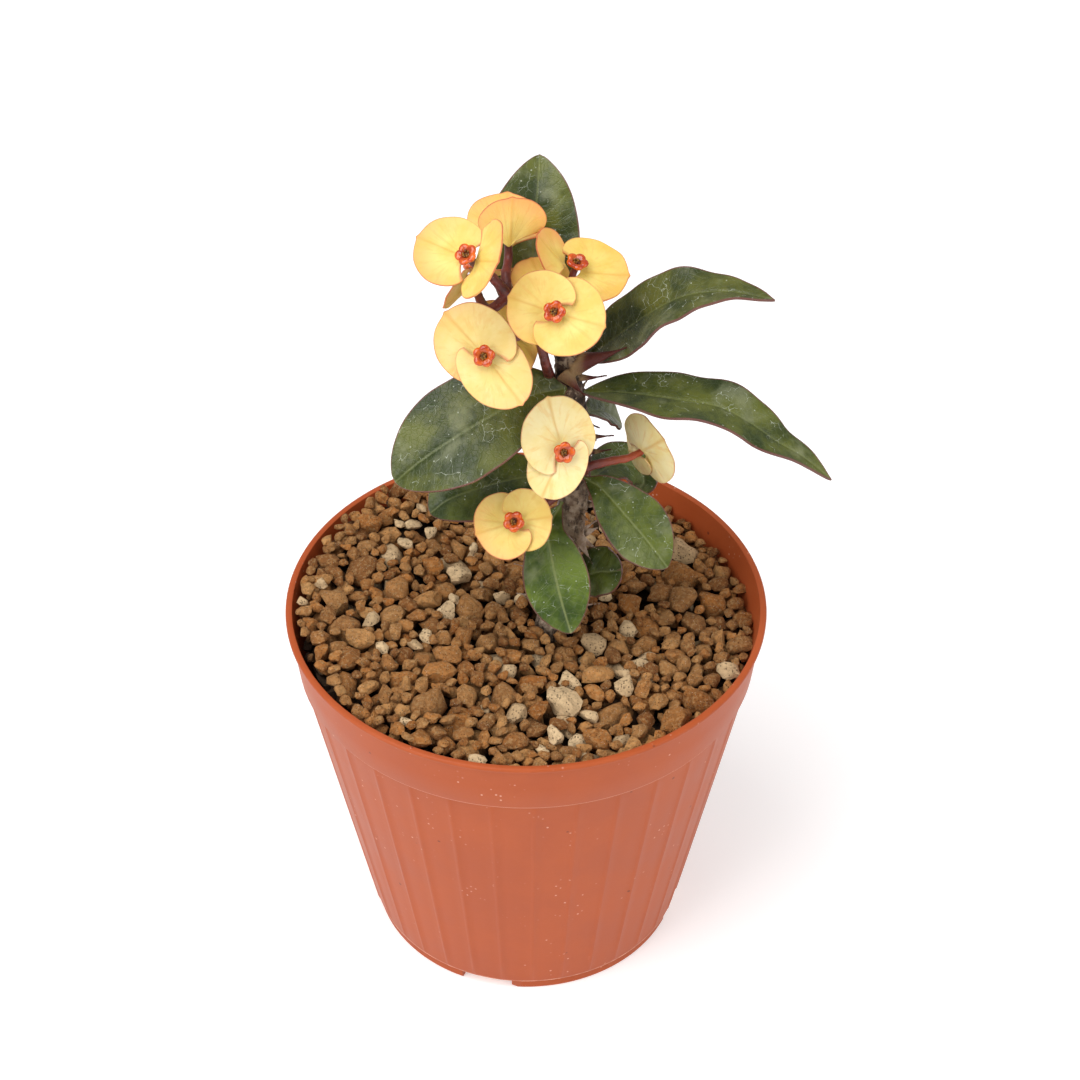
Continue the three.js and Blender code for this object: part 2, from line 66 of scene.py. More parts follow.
BIG_THORNS = [
    ((11, 0.5, 172.5), (23, -2, 179), 3.1),
    ((11, 0, 169), (18.5, -2, 171), 1.3),
    ((9, -1, 171), (13.5, -5.5, 168), 2.4),
    ((11.5, 0, 152), (20.5, -2, 153.5), 1.8),
    ((11.5, -1, 152.5), (16, -6, 151.5), 1.6),
    ((10.5, 0, 143), (1, -5, 147), 1.8),
    ((10, -1, 124), (17.5, -4.5, 120.5), 2.6),
    ((9.5, 0, 127), (4.5, -5.5, 133.5), 2.2),
    ((8.5, -1, 110), (-2.5, -5, 116), 2.0),
    ((7.5, -1, 102), (-2, -5, 106.5), 1.9),
    ((8, 0, 98.5), (18, -2.5, 101), 1.5),
]

# Leaves: midrib, full width, where they are widest, the way the face looks at base and tip, the
# fold in degrees, how blunt the tip is, how fresh the green is (0 to 1), the waves of the margin
# in millimetres, and how many pairs of side veins.
LEAVES = {
    "leaf_top_back": dict(
        rib=[(4.5, 5.5, 175), (2, 10, 187), (1.5, 16.5, 197), (2.5, 22, 205.5), (3, 28, 212)],
        width=22, widest=0.56, face=[(0, -1, 0.2), (0, -0.8, 0.5)], fold=10, blunt=0.7, fresh=0.25,
        wave=0.5, veins=9),
    "leaf_right_upper": dict(
        rib=[(15, 4.5, 172), (17.2, 4, 174.5), (22, 3, 179.5), (28.5, 2, 186), (36, 1, 191.3),
             (44.5, -1, 194), (50.5, -3, 194.5), (56, -6, 195)],
        width=17, widest=0.42, face=[(-0.2, -0.5, 0.8), (0, 0.1, 1)], fold=10, blunt=0.85, fresh=0.1,
        wave=0.7, veins=12),
    "leaf_right_lower": dict(
        rib=[(15, -0.5, 165), (21.5, -1, 165.5), (27.5, -2, 165.5), (36, -4, 165.5), (45, -6, 165),
             (52, -8, 162), (58.5, -10, 158), (64.5, -11, 154.5), (71.5, -13, 149)],
        width=16, widest=0.42, face=[(0, -0.1, 1), (0.3, -0.2, 1)], fold=10, blunt=0.85, fresh=0.25,
        wave=0.6, veins=14),
    "leaf_left_upper": dict(
        rib=[(8, -3.5, 168), (1, -6, 168), (-8, -9, 164.5), (-17.5, -12, 159.5), (-25.5, -14, 154),
             (-30.5, -15, 149.5)],
        width=25, widest=0.55, face=[(-0.1, -0.6, 0.8), (-0.2, -0.6, 0.8)], fold=8, blunt=0.6,
        fresh=0.2, wave=0.4, veins=11),
    "leaf_left_lower": dict(
        rib=[(7, 1.5, 139), (-2.5, -1, 139.5), (-11, -4, 139), (-18.5, -6, 137), (-23, -7, 133.5)],
        width=18, widest=0.6, face=[(-0.2, -0.5, 0.8), (-0.3, -0.5, 0.8)], fold=8, blunt=0.65,
        fresh=0.4, wave=0.4, veins=8),
    "leaf_front": dict(
        rib=[(8, -4, 133), (5.5, -8, 129.5), (6.5, -13, 123), (8.5, -18, 116), (11, -22, 108.5)],
        width=16, widest=0.6, face=[(0, -0.8, 0.6), (0, -0.7, 0.7)], fold=8, blunt=0.7, fresh=1.0,
        wave=0.3, veins=8),
    "leaf_right_front": dict(
        rib=[(15, -3.5, 141), (18, -6, 140.5), (23.5, -10, 136), (29.5, -13, 129.5), (34, -15, 123.5)],
        width=16, widest=0.58, face=[(0.1, -0.6, 0.8), (0.1, -0.6, 0.8)], fold=10, blunt=0.7,
        fresh=0.5, wave=0.35, veins=8),
    "leaf_small": dict(
        rib=[(13.5, -3, 110), (17.5, -4.5, 113), (20.5, -6, 114.5), (23.5, -7, 116)],
        width=13, widest=0.55, face=[(0, -0.6, 0.8), (0, -0.6, 0.8)], fold=6, blunt=0.45, fresh=0.6,
        wave=0.2, veins=5, notch=1.4),
    "leaf_curled": dict(
        rib=[(16.5, 3.5, 137), (21, 10, 135), (24.5, 13, 133), (28, 14, 130), (29, 13, 127),
             (27, 12, 124.5)],
        width=12, widest=0.5, face=[(0, -0.5, 1), (0, -0.5, 0.9)], fold=6, blunt=0.7, fresh=0.5,
        wave=0.3, veins=8),
    "leaf_right_middle": dict(
        rib=[(14.5, 4.5, 155.5), (18, 9, 152.5), (21, 12, 148.5), (23, 14, 144.5)],
        width=10, widest=0.55, face=[(0.2, -0.3, 0.9), (0.3, -0.3, 0.9)], fold=10, blunt=0.8, fresh=0.3,
        wave=0.3, veins=6),
}

# Flowers: where the bracts meet, the way the flower looks, which side of a bract passes over the
# other, its two bracts, the blush on each of them (0 to 1) and how pale the flower is.
FLOWERS = {
    "flower_1": dict(at=(-12, -14, 211.2), face=(-0.35, -0.5, 0.8), over=1, pale=0.1, bracts=[
        dict(turn=151, reach=12.8, breadth=0.8, spread=120, blush=0.9),
        dict(turn=-24, reach=8.8, lift=24, breadth=1.38, spread=112, blush=0.6)]),
    "flower_2": dict(at=(-4, 4, 202.5), face=(0, 0.6, 0.8), over=1, pale=0.1, bracts=[
        dict(turn=-82, reach=11.5, lift=62, breadth=1.2, spread=66, inset=2.2, blush=1.0),
        dict(turn=92, reach=14, lift=58, breadth=1.15, spread=66, inset=2.2, blush=1.0)]),
    "flower_3": dict(at=(11, 0, 199), face=(0.2, -0.2, 0.95), over=1, pale=0.0, bracts=[
        dict(turn=-2, reach=10.8, spread=150, blush=0.5),
        dict(turn=166, reach=10.5, lift=32, spread=80, inset=1.9, blush=1.0)]),
    "flower_4": dict(at=(6.5, -14, 197), face=(-0.05, -0.76, 0.64), over=-1, pale=0.12, bracts=[
        dict(turn=-16, reach=10.2, blush=0.35), dict(turn=161, reach=9.6, blush=0.35)]),
    "flower_5": dict(at=(-9, -16, 186.5), face=(-0.1, -0.8, 0.6), over=-1, pale=0.42, bracts=[
        dict(turn=133, reach=12, breadth=0.84, blush=0.5),
        dict(turn=-52, reach=12.3, breadth=0.7, blush=0.5)]),
    "flower_6": dict(at=(-4, -3, 183), face=(-0.62, 0.41, -0.67), over=1, pale=0.0, bracts=[
        dict(turn=-142, reach=8, blush=0.7), dict(turn=38, reach=8, blush=0.7)]),
    "flower_7": dict(at=(-11.5, 2, 195.4), face=(-0.1, 0.75, 0.55), over=1, pale=0.2, bracts=[
        dict(turn=0, reach=7.5, breadth=0.55, blush=0.5),
        dict(turn=180, reach=9, lift=-50, breadth=0.6, spread=100, blush=0.5)]),
    "flower_8": dict(at=(8.5, -15.5, 159.5), face=(0.15, -0.9, 0.45), over=1, pale=0.8, bracts=[
        dict(turn=106, reach=11.8, breadth=0.84, blush=0.1),
        dict(turn=-114, reach=10.6, breadth=0.72, blush=0.1)]),
    "flower_9": dict(at=(27.5, 2, 145.5), face=(0.85, 0.5, 0.14), over=1, pale=0.85, bracts=[
        dict(turn=-60, reach=10.5, lift=8, blush=0.05), dict(turn=130, reach=9, breadth=0.8, blush=0.05)]),
    "flower_10": dict(at=(-2.5, -16, 138.5), face=(-0.1, -0.75, 0.65), over=1, pale=0.15, bracts=[
        dict(turn=-162, reach=8.4, breadth=1.1, blush=0.6),
        dict(turn=8, reach=7.6, breadth=1.12, blush=0.2)]),
    "flower_11": dict(at=(5, -3, 195.5), face=(-0.2, 0.2, 0.95), over=1, pale=0.0, bracts=[
        dict(turn=110, reach=9, lift=30, spread=110, blush=0.7),
        dict(turn=-70, reach=4.8, lift=10, spread=110, blush=0.5)]),
}
BRACT = dict(inset=1.3, overlap=0.5, overlap_turn=30, spread=160, round=0.38, dish=1.0)
CUP_FROM = 0.95
GAP = 0.3
LEAF_THICKNESS = 0.55
BRACT_THICKNESS = 0.3
LEAF_FOOT = 1.6  # how far each leaf's foot is carried on towards the stem
STALK_ROOT = 2.5  # the same for the root of each stalk

STALKS = {
    "stalk_top": (1.3, [
        ([(5.2, -1.5, 171.5), (4.5, -4, 176), (3, -5, 183), (-1, -6, 191), (-4, -6, 196)], None),
        ([(-4, -6, 196), (-7.5, -8, 202.5)], "flower_1"),
        ([(-4, -6, 196), (-4.5, -3, 199)], "flower_2"),
        ([(3, -5, 183), (4, -8, 188)], "flower_4"),
        ([(1.5, -5.5, 186), (-3, -9, 186.5)], "flower_5"),
        ([(1.5, -5.5, 186), (-1.5, -7.5, 187.5)], "flower_6"),
        ([(-4, -6, 196), (-8, -8.5, 194)], "flower_7")]),
    "stalk_back": (1.2, [
        ([(10, 2, 177), (10.5, 2.5, 184), (10.5, 1, 193)], "flower_3"),
        ([(10.3, 2.3, 182), (7.5, 0, 187)], "flower_11")]),
    "stalk_low": (1.2, [
        ([(13.5, -4.6, 145.5), (12.5, -8, 150)], "flower_8"),
        ([(13.5, -4.6, 145.5), (18, -3, 146)], "flower_9")]),
    "stalk_front": (1.1, [([(7.5, -3, 136), (3.5, -7, 135.5)], "flower_10")]),
}


# ------------------------------------------------------------------ workshop helpers

def let_go():
    if bpy.context.object and bpy.context.object.mode != "OBJECT":
        bpy.ops.object.mode_set(mode="OBJECT")
    bpy.ops.object.select_all(action="DESELECT")


def hold(piece):
    let_go()
    piece.select_set(True)
    bpy.context.view_layer.objects.active = piece


def finish_modifiers(piece):
    hold(piece)
    for modifier in list(piece.modifiers):
        bpy.ops.object.modifier_apply(modifier=modifier.name)


def points_of(piece):
    co = np.empty(len(piece.data.vertices) * 3)
    piece.data.vertices.foreach_get("co", co)
    return co.reshape(-1, 3)


def set_points(piece, co):
    piece.data.vertices.foreach_set("co", np.asarray(co, float).ravel())
    piece.data.update()


def mark(piece, name, values):
    """Keeps one number at each point of a piece, for its finish to read."""
    layer = piece.data.attributes.new(name, "FLOAT", "POINT")
    layer.data.foreach_set("value", np.asarray(values, np.float32))


def settle(piece, slot, *nodes):
    """The piece is done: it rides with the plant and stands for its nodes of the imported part."""
    hold(piece)
    bpy.ops.object.transform_apply(location=True, rotation=True, scale=True)
    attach(piece, "root")
    if nodes:
        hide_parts(*nodes)
    let_go()
    return piece


def merge_points(piece, distance):
    hold(piece)
    bpy.ops.object.mode_set(mode="EDIT")
    bpy.ops.mesh.select_all(action="SELECT")
    bpy.ops.mesh.remove_doubles(threshold=distance)
    bpy.ops.object.mode_set(mode="OBJECT")


def smooth_route(points, count):
    """Points and directions at equal steps along a smooth curve through the given points."""
    p = [np.array(q, float) for q in points]
    fine = []
    for i in range(len(p) - 1):
        a = p[i - 1] if i else 2 * p[0] - p[1]
        b, c = p[i], p[i + 1]
        d = p[i + 2] if i + 2 < len(p) else 2 * p[-1] - p[-2]
        ta, tb, tc = (max(np.linalg.norm(v) ** 0.5, 1e-4) for v in (b - a, c - b, d - c))
        m1 = ((b - a) / ta - (c - a) / (ta + tb) + (c - b) / tb) * tb
        m2 = ((c - b) / tb - (d - b) / (tb + tc) + (d - c) / tc) * tb
        for u in np.linspace(0, 1, 40, endpoint=False):
            fine.append(b + m1 * u + (-3 * b + 3 * c - 2 * m1 - m2) * u ** 2
                        + (2 * b - 2 * c + m1 + m2) * u ** 3)
    fine = np.array(fine + [p[-1]])
    walked = np.concatenate([[0], np.cumsum(np.linalg.norm(np.diff(fine, axis=0), axis=1))])
    steps = np.linspace(0, walked[-1], count)
    centre = np.stack([np.interp(steps, walked, fine[:, k]) for k in range(3)], 1)
    along = np.gradient(centre, axis=0)
    along /= np.linalg.norm(along, axis=1)[:, None]
    return centre, along, walked[-1]


def unit(v):
    v = np.asarray(v, float)
    return v / np.linalg.norm(v, axis=-1, keepdims=True)


def sheet(name, rows, across_map, along_map):
    """A thin blade: a grid bent to rows of points, with a map that measures it across and along."""
    n, m = rows.shape[0] - 1, rows.shape[1] - 1
    let_go()
    bpy.ops.mesh.primitive_grid_add(x_subdivisions=m, y_subdivisions=n, size=1)
    piece = bpy.context.object
    piece.name = name
    piece.data.name = name
    flat = points_of(piece)
    i = np.rint((flat[:, 1] + 0.5) * n).astype(int)
    j = np.rint((flat[:, 0] + 0.5) * m).astype(int)
    set_points(piece, rows[i, j] * MM)
    corner = np.empty(len(piece.data.loops), int)
    piece.data.loops.foreach_get("vertex_index", corner)
    place = np.stack([across_map[i, j], along_map[i, j]], 1)[corner]
    piece.data.uv_layers[0].data.foreach_set("uv", place.ravel())
    return piece, (i, j)


def tube(name, points, radius_at, sides, steps, flat=1.0):
    """A round limb: a cylinder that is cut into steps and drawn along a route."""
    centre, along, _ = smooth_route(points, steps + 1)
    let_go()
    bpy.ops.mesh.primitive_cylinder_add(vertices=sides, radius=1, depth=1, end_fill_type="TRIFAN")
    piece = bpy.context.object
    piece.name = name
    bpy.ops.object.mode_set(mode="EDIT")
    bpy.ops.mesh.select_all(action="DESELECT")
    mesh = bmesh.from_edit_mesh(piece.data)
    upright = [e for e in mesh.edges if abs(e.verts[0].co.z - e.verts[1].co.z) > 0.5]
    bmesh.ops.subdivide_edges(mesh, edges=upright, cuts=steps - 1, use_grid_fill=True)
    side = unit(np.cross(along[0], (0.3, 0.9, 0.1)))
    frames = []
    for k in range(steps + 1):
        side = unit(side - along[k] * np.dot(side, along[k]))
        frames.append((side, np.cross(along[k], side)))
    for v in mesh.verts:
        k = int(round((v.co.z + 0.5) * steps))
        r = radius_at(k / steps) * math.hypot(v.co.x, v.co.y)
        a = math.atan2(v.co.y, v.co.x)
        x, y = frames[k]
        v.co = Vector((centre[k] + r * (math.cos(a) * x + flat * math.sin(a) * y)) * MM)
    bmesh.update_edit_mesh(piece.data)
    bpy.ops.object.mode_set(mode="OBJECT")
    return piece


def join(pieces, name):
    let_go()
    for piece in pieces:
        piece.select_set(True)
    bpy.context.view_layer.objects.active = pieces[0]
    if len(pieces) > 1:
        bpy.ops.object.join()
    joined = bpy.context.object
    joined.name = name
    joined.data.name = name
    return joined


def fuse(pieces, name, voxel, relax):
    """Pieces that grew together become one skin."""
    joined = join(pieces, name)
    grown = joined.modifiers.new("grown together", "REMESH")
    grown.mode = "VOXEL"
    grown.voxel_size = voxel * MM
    eased = joined.modifiers.new("eased", "SMOOTH")
    eased.iterations = relax
    eased.factor = 0.5
    finish_modifiers(joined)
    return joined


def clothe(piece, *materials):
    piece.data.materials.clear()
    for material in materials:
        piece.data.materials.append(material)


def thicken(piece, thickness):
    """Gives a blade its thickness: the first material above and round the rim, the second below."""
    body = piece.modifiers.new("thickness", "SOLIDIFY")
    body.thickness = thickness * MM
    body.offset = 0
    body.material_offset = 1
    body.material_offset_rim = 0
    finish_modifiers(piece)


def round_shading(piece, angle=None):
    hold(piece)
    if angle is None:
        bpy.ops.object.shade_smooth()
    else:
        bpy.ops.object.shade_smooth_by_angle(angle=math.radians(angle))


# ------------------------------------------------------------------ finishes

def add_node(tree, kind, inputs=(), **settings):
    node = tree.nodes.new(kind)
    for key, value in settings.items():
        setattr(node, key, value)
    for key, value in dict(inputs).items():
        if isinstance(value, bpy.types.NodeSocket):
            tree.links.new(value, node.inputs[key])
        else:
            node.inputs[key].default_value = value
    return node


def calc(tree, operation, a, b=0.0):
    return add_node(tree, "ShaderNodeMath", {0: a, 1: b}, operation=operation).outputs[0]


def ramp(tree, value, low, high, to_low=0.0, to_high=1.0):
    """A soft step from to_low, where value is low, to to_high, where it is high."""
    return add_node(tree, "ShaderNodeMapRange", {0: value, 1: low, 2: high, 3: to_low, 4: to_high},
                    interpolation_type="SMOOTHSTEP").outputs[0]


def tint(tree, mask, under, over):
    mix = add_node(tree, "ShaderNodeMix", data_type="RGBA")
    for key, value in ((0, mask), (6, under), (7, over)):
        if isinstance(value, bpy.types.NodeSocket):
            tree.links.new(value, mix.inputs[key])
        else:
            mix.inputs[key].default_value = value if key == 0 else (*value, 1)
    return mix.outputs[2]


def paint(tree, under, mask, share, over):
    """Lays one colour over another where the mask is, at a share of its full strength."""
    return tint(tree, calc(tree, "MULTIPLY", mask, share), under, over)


def band(tree, value, start, full, end, gone):
    """1 from full to end, easing to 0 at start below them and at gone above them."""
    return calc(tree, "MULTIPLY", ramp(tree, value, start, full), ramp(tree, value, gone, end))


def clouds(tree, where, scale, detail=3.0, roughness=0.55):
    return add_node(tree, "ShaderNodeTexNoise", {"Vector": where, "Scale": scale, "Detail": detail,
                    "Roughness": roughness}).outputs[0]


def kept(tree, name):
    return add_node(tree, "ShaderNodeAttribute", attribute_name=name).outputs["Fac"]


def group(name, inputs, outputs, build):
    tree = bpy.data.node_groups.new(name, "ShaderNodeTree")
    for label, kind, value in inputs:
        socket = tree.interface.new_socket(label, in_out="INPUT", socket_type=kind)
        if value is not None:
            socket.default_value = value
    for label, kind in outputs:
        tree.interface.new_socket(label, in_out="OUTPUT", socket_type=kind)
    start = tree.nodes.new("NodeGroupInput").outputs
    end = tree.nodes.new("NodeGroupOutput").inputs
    for label, socket in build(tree, start).items():
        tree.links.new(socket, end[label])
    return tree


def use_group(tree, made, **inputs):
    node = add_node(tree, "ShaderNodeGroup")
    node.node_tree = made
    for label, value in inputs.items():
        label = label.replace("_", " ")
        if isinstance(value, bpy.types.NodeSocket):
            tree.links.new(value, node.inputs[label])
        else:
            node.inputs[label].default_value = value
    return node.outputs


def build_mottle(tree, given):
    cloud = clouds(tree, given["Where"], given["Scale"], 4, 0.6)
    return {"Mask": ramp(tree, cloud, given["From"], given["To"])}


def build_specks(tree, given):
    """Small scattered dots. Few is the share of cells left empty."""
    cells = add_node(tree, "ShaderNodeTexVoronoi", {"Vector": given["Where"], "Scale": given["Scale"]})
    chance = add_node(tree, "ShaderNodeSeparateColor", {0: cells.outputs["Color"]}).outputs[0]
    wanted = calc(tree, "GREATER_THAN", chance, given["Few"])
    half = calc(tree, "MULTIPLY", given["Size"], 0.4)
    dot = add_node(tree, "ShaderNodeMapRange", {0: cells.outputs["Distance"], 1: given["Size"],
                   2: half}, interpolation_type="SMOOTHSTEP").outputs[0]
    return {"Mask": calc(tree, "MULTIPLY", dot, wanted)}


def build_grain(tree, given):
    """Fine unevenness of a natural or a moulded skin, as a height."""
    coarse = clouds(tree, given["Where"], given["Scale"], 5, 0.65)
    third = calc(tree, "MULTIPLY", given["Scale"], 3.7)
    fine = clouds(tree, given["Where"], third, 2, 0.5)
    return {"Height": calc(tree, "ADD", coarse, calc(tree, "MULTIPLY", fine, 0.4))}


WHERE = ("Where", "NodeSocketVector", None)
SCALE = ("Scale", "NodeSocketFloat", 1000.0)
MOTTLE = group("Mottle", [WHERE, SCALE, ("From", "NodeSocketFloat", 0.4), ("To", "NodeSocketFloat", 0.6)],
               [("Mask", "NodeSocketFloat")], build_mottle)
SPECKS = group("Specks", [WHERE, SCALE, ("Size", "NodeSocketFloat", 0.2), ("Few", "NodeSocketFloat", 0.5)],
               [("Mask", "NodeSocketFloat")], build_specks)
GRAIN = group("Skin grain", [WHERE, SCALE], [("Height", "NodeSocketFloat")], build_grain)


def mottle(tree, where, scale, low, high):
    return use_group(tree, MOTTLE, Where=where, Scale=scale, From=low, To=high)["Mask"]


def specks(tree, where, scale, size, few):
    return use_group(tree, SPECKS, Where=where, Scale=scale, Size=size, Few=few)["Mask"]


def skin_grain(tree, where, scale):
    return use_group(tree, GRAIN, Where=where, Scale=scale)["Height"]


def new_finish(name, roughness=0.5, **sockets):
    material = bpy.data.materials.new(name)
    material.use_nodes = True
    tree = material.node_tree
    shader = tree.nodes["Principled BSDF"]
    shader.inputs["Roughness"].default_value = roughness
    for key, value in sockets.items():
        shader.inputs[key.replace("_", " ")].default_value = value
    where = add_node(tree, "ShaderNodeTexCoord").outputs["Object"]
    return material, tree, shader, where


def dress(tree, shader, colour=None, roughness=None, height=None, depth=0.0002, strength=0.5):
    if colour is not None:
        tree.links.new(colour, shader.inputs["Base Color"])
    if roughness is not None:
        tree.links.new(roughness, shader.inputs["Roughness"])
    if height is not None:
        bump = add_node(tree, "ShaderNodeBump", {"Height": height, "Distance": depth, "Strength": strength})
        tree.links.new(bump.outputs[0], shader.inputs["Normal"])


def pot_plastic():
    """Terracotta-coloured polypropylene with a soft sheen, faint clouding and fine dust."""
    material, tree, shader, where = new_finish("terracotta plastic", 0.4, Specular_IOR_Level=0.2)
    upward = add_node(tree, "ShaderNodeSeparateXYZ", {0: where}).outputs[2]
    cloud = mottle(tree, where, 55.0, 0.3, 0.7)
    colour = tint(tree, cloud, (0.395, 0.077, 0.02), (0.435, 0.09, 0.025))
    fine = mottle(tree, where, 900.0, 0.35, 0.7)
    colour = paint(tree, colour, fine, 0.12, (0.39, 0.07, 0.02))
    dust_patch = mottle(tree, where, 70.0, 0.5, 0.66)
    dust = specks(tree, where, 900.0, 0.34, 0.86)
    dust = calc(tree, "MULTIPLY", dust, dust_patch)
    colour = paint(tree, colour, dust, 0.6, (0.85, 0.55, 0.42))
    dark = specks(tree, where, 190.0, 0.11, 0.72)
    colour = paint(tree, colour, dark, 0.75, (0.1, 0.025, 0.015))
    # painted highlight, with some rubbed wear: the base edge and the collar's lower edge are lightened as
    # thin pale lines
    rubbed = mottle(tree, where, 260.0, 0.42, 0.6)
    base_edge = band(tree, upward, 0.00285, 0.0031, 0.0034, 0.0039)
    step_edge = band(tree, upward, 0.0845, 0.0847, 0.0849, 0.0852)
    edge_highlight_and_wear = calc(tree, "MAXIMUM", calc(tree, "MULTIPLY", base_edge, calc(tree, "ADD", rubbed, 0.45)),
                calc(tree, "MULTIPLY", step_edge, 0.6))
    colour = paint(tree, colour, edge_highlight_and_wear, 0.7, (0.9, 0.52, 0.36))
    rough = calc(tree, "ADD", calc(tree, "MULTIPLY", cloud, 0.08), 0.4)
    rough = calc(tree, "ADD", rough, calc(tree, "MULTIPLY", dust, 0.3))
    grain = skin_grain(tree, where, 700.0)
    dress(tree, shader, colour, rough, grain, 0.00006, 0.35)
    return material


def grit_brown():
    """Baked clay grit: brown to tan, porous, with small crystals that are smoother and painted pale as
    glints.
    """
    material, tree, shader, where = new_finish("brown grit", 0.9, Specular_IOR_Level=0.2)
    tone = kept(tree, "tone")
    colour = tint(tree, tone, (0.27, 0.105, 0.03), (0.68, 0.35, 0.125))
    hue = kept(tree, "hue")
    colour = paint(tree, colour, hue, 0.6, (0.6, 0.21, 0.04))
    patch = mottle(tree, where, 620.0, 0.4, 0.62)
    colour = paint(tree, colour, patch, 0.42, (0.17, 0.07, 0.024))
    dusty = mottle(tree, where, 1300.0, 0.48, 0.64)
    colour = paint(tree, colour, dusty, 0.45, (0.6, 0.38, 0.17))
    pits = specks(tree, where, 2100.0, 0.33, 0.55)
    colour = paint(tree, colour, pits, 0.7, (0.045, 0.02, 0.01))
    # painted highlight: small specks lightened as glints; they are also made smoother
    glint = specks(tree, where, 2600.0, 0.3, 0.9)
    colour = paint(tree, colour, glint, 0.8, (0.8, 0.7, 0.55))
    # painted shade: grains are darkened towards near black the deeper they lie under the heap's top
    colour = tint(tree, calc(tree, "POWER", kept(tree, "painted_shade"), 1.15), colour, (0.025, 0.012, 0.006))
    rough = calc(tree, "SUBTRACT", 0.92, calc(tree, "MULTIPLY", glint, 0.6))
    grain = skin_grain(tree, where, 1400.0)
    height = calc(tree, "SUBTRACT", grain, calc(tree, "MULTIPLY", pits, 0.6))
    dress(tree, shader, colour, rough, height, 0.0011, 1.0)
    return material


def grit_pumice():
    """Pale pumice with dark open pores."""
    material, tree, shader, where = new_finish("pale pumice", 0.85, Specular_IOR_Level=0.25)
    tone = kept(tree, "tone")
    colour = tint(tree, tone, (0.48, 0.31, 0.155), (0.78, 0.57, 0.33))
    patch = mottle(tree, where, 600.0, 0.35, 0.7)
    colour = paint(tree, colour, patch, 0.5, (0.36, 0.25, 0.14))
    pores = specks(tree, where, 1500.0, 0.38, 0.45)
    small = specks(tree, where, 3000.0, 0.38, 0.5)
    holes = calc(tree, "MAXIMUM", pores, calc(tree, "MULTIPLY", small, 0.6))
    colour = paint(tree, colour, holes, 0.75, (0.09, 0.055, 0.03))
    # painted shade: pumice grains are darkened the deeper they lie under the heap's top
    colour = tint(tree, calc(tree, "MULTIPLY", kept(tree, "painted_shade"), 0.8), colour, (0.05, 0.028, 0.015))
    grain = skin_grain(tree, where, 1500.0)
    height = calc(tree, "SUBTRACT", grain, holes)
    dress(tree, shader, colour, None, height, 0.0004, 0.9)
    return material


def deep_grit():
    material, tree, shader, where = new_finish("shaded grit", 0.95)
    patch = mottle(tree, where, 500.0, 0.35, 0.65)
    colour = tint(tree, patch, (0.02, 0.011, 0.006), (0.07, 0.038, 0.018))
    grain = skin_grain(tree, where, 600.0)
    dress(tree, shader, colour, None, grain, 0.0008, 0.9)
    return material


def bark():
    """Dark cracked bark above, paler and corky towards the foot. The thorns are red-brown with tan
    bases, and the lowest ones are dry and pale."""
    material, tree, shader, where = new_finish("bark and thorns", 0.75, Specular_IOR_Level=0.3)
    height_up = add_node(tree, "ShaderNodeSeparateXYZ", {0: where}).outputs[2]
    rough_patch = mottle(tree, where, 420.0, 0.4, 0.62)
    dark = tint(tree, rough_patch, (0.03, 0.018, 0.014), (0.12, 0.075, 0.052))
    pale = tint(tree, rough_patch, (0.22, 0.15, 0.1), (0.5, 0.39, 0.29))
    low = ramp(tree, height_up, 0.146, 0.128)
    colour = tint(tree, low, dark, pale)
    cork = mottle(tree, where, 260.0, 0.52, 0.6)
    colour = paint(tree, colour, cork, 0.7, (0.36, 0.27, 0.19))
    thorn = kept(tree, "thorn")
    skin = tint(tree, ramp(tree, thorn, 0.3, 0.95), (0.27, 0.17, 0.08), (0.1, 0.02, 0.014))
    dry = tint(tree, rough_patch, (0.42, 0.29, 0.21), (0.68, 0.53, 0.42))
    skin = tint(tree, calc(tree, "MULTIPLY", low, ramp(tree, height_up, 0.14, 0.125, 0.2, 0.9)), skin, dry)
    colour = tint(tree, ramp(tree, thorn, 0.08, 0.35), colour, skin)
    colour = tint(tree, calc(tree, "MULTIPLY", ramp(tree, thorn, 0.92, 1.0, 0.0, 0.7),
                  ramp(tree, height_up, 0.125, 0.14, 0.25, 1.0)), colour, (0.085, 0.016, 0.011))
    drawn = add_node(tree, "ShaderNodeVectorMath", {0: where, 1: (1.0, 1.0, 0.35)},
                     operation="MULTIPLY").outputs[0]
    cracks = ramp(tree, clouds(tree, drawn, 900.0, 4, 0.65), 0.5, 0.62)
    bare = calc(tree, "SUBTRACT", 1.0, ramp(tree, thorn, 0.1, 0.4))
    cracks = calc(tree, "MULTIPLY", cracks, bare)
    colour = paint(tree, colour, cracks, 0.6, (0.02, 0.012, 0.01))
    grain = skin_grain(tree, where, 900.0)
    height = calc(tree, "SUBTRACT", grain, cracks)
    rough = ramp(tree, thorn, 0.2, 0.8, 0.85, 0.45)
    dress(tree, shader, colour, rough, height, 0.0004, 0.7)
    return material


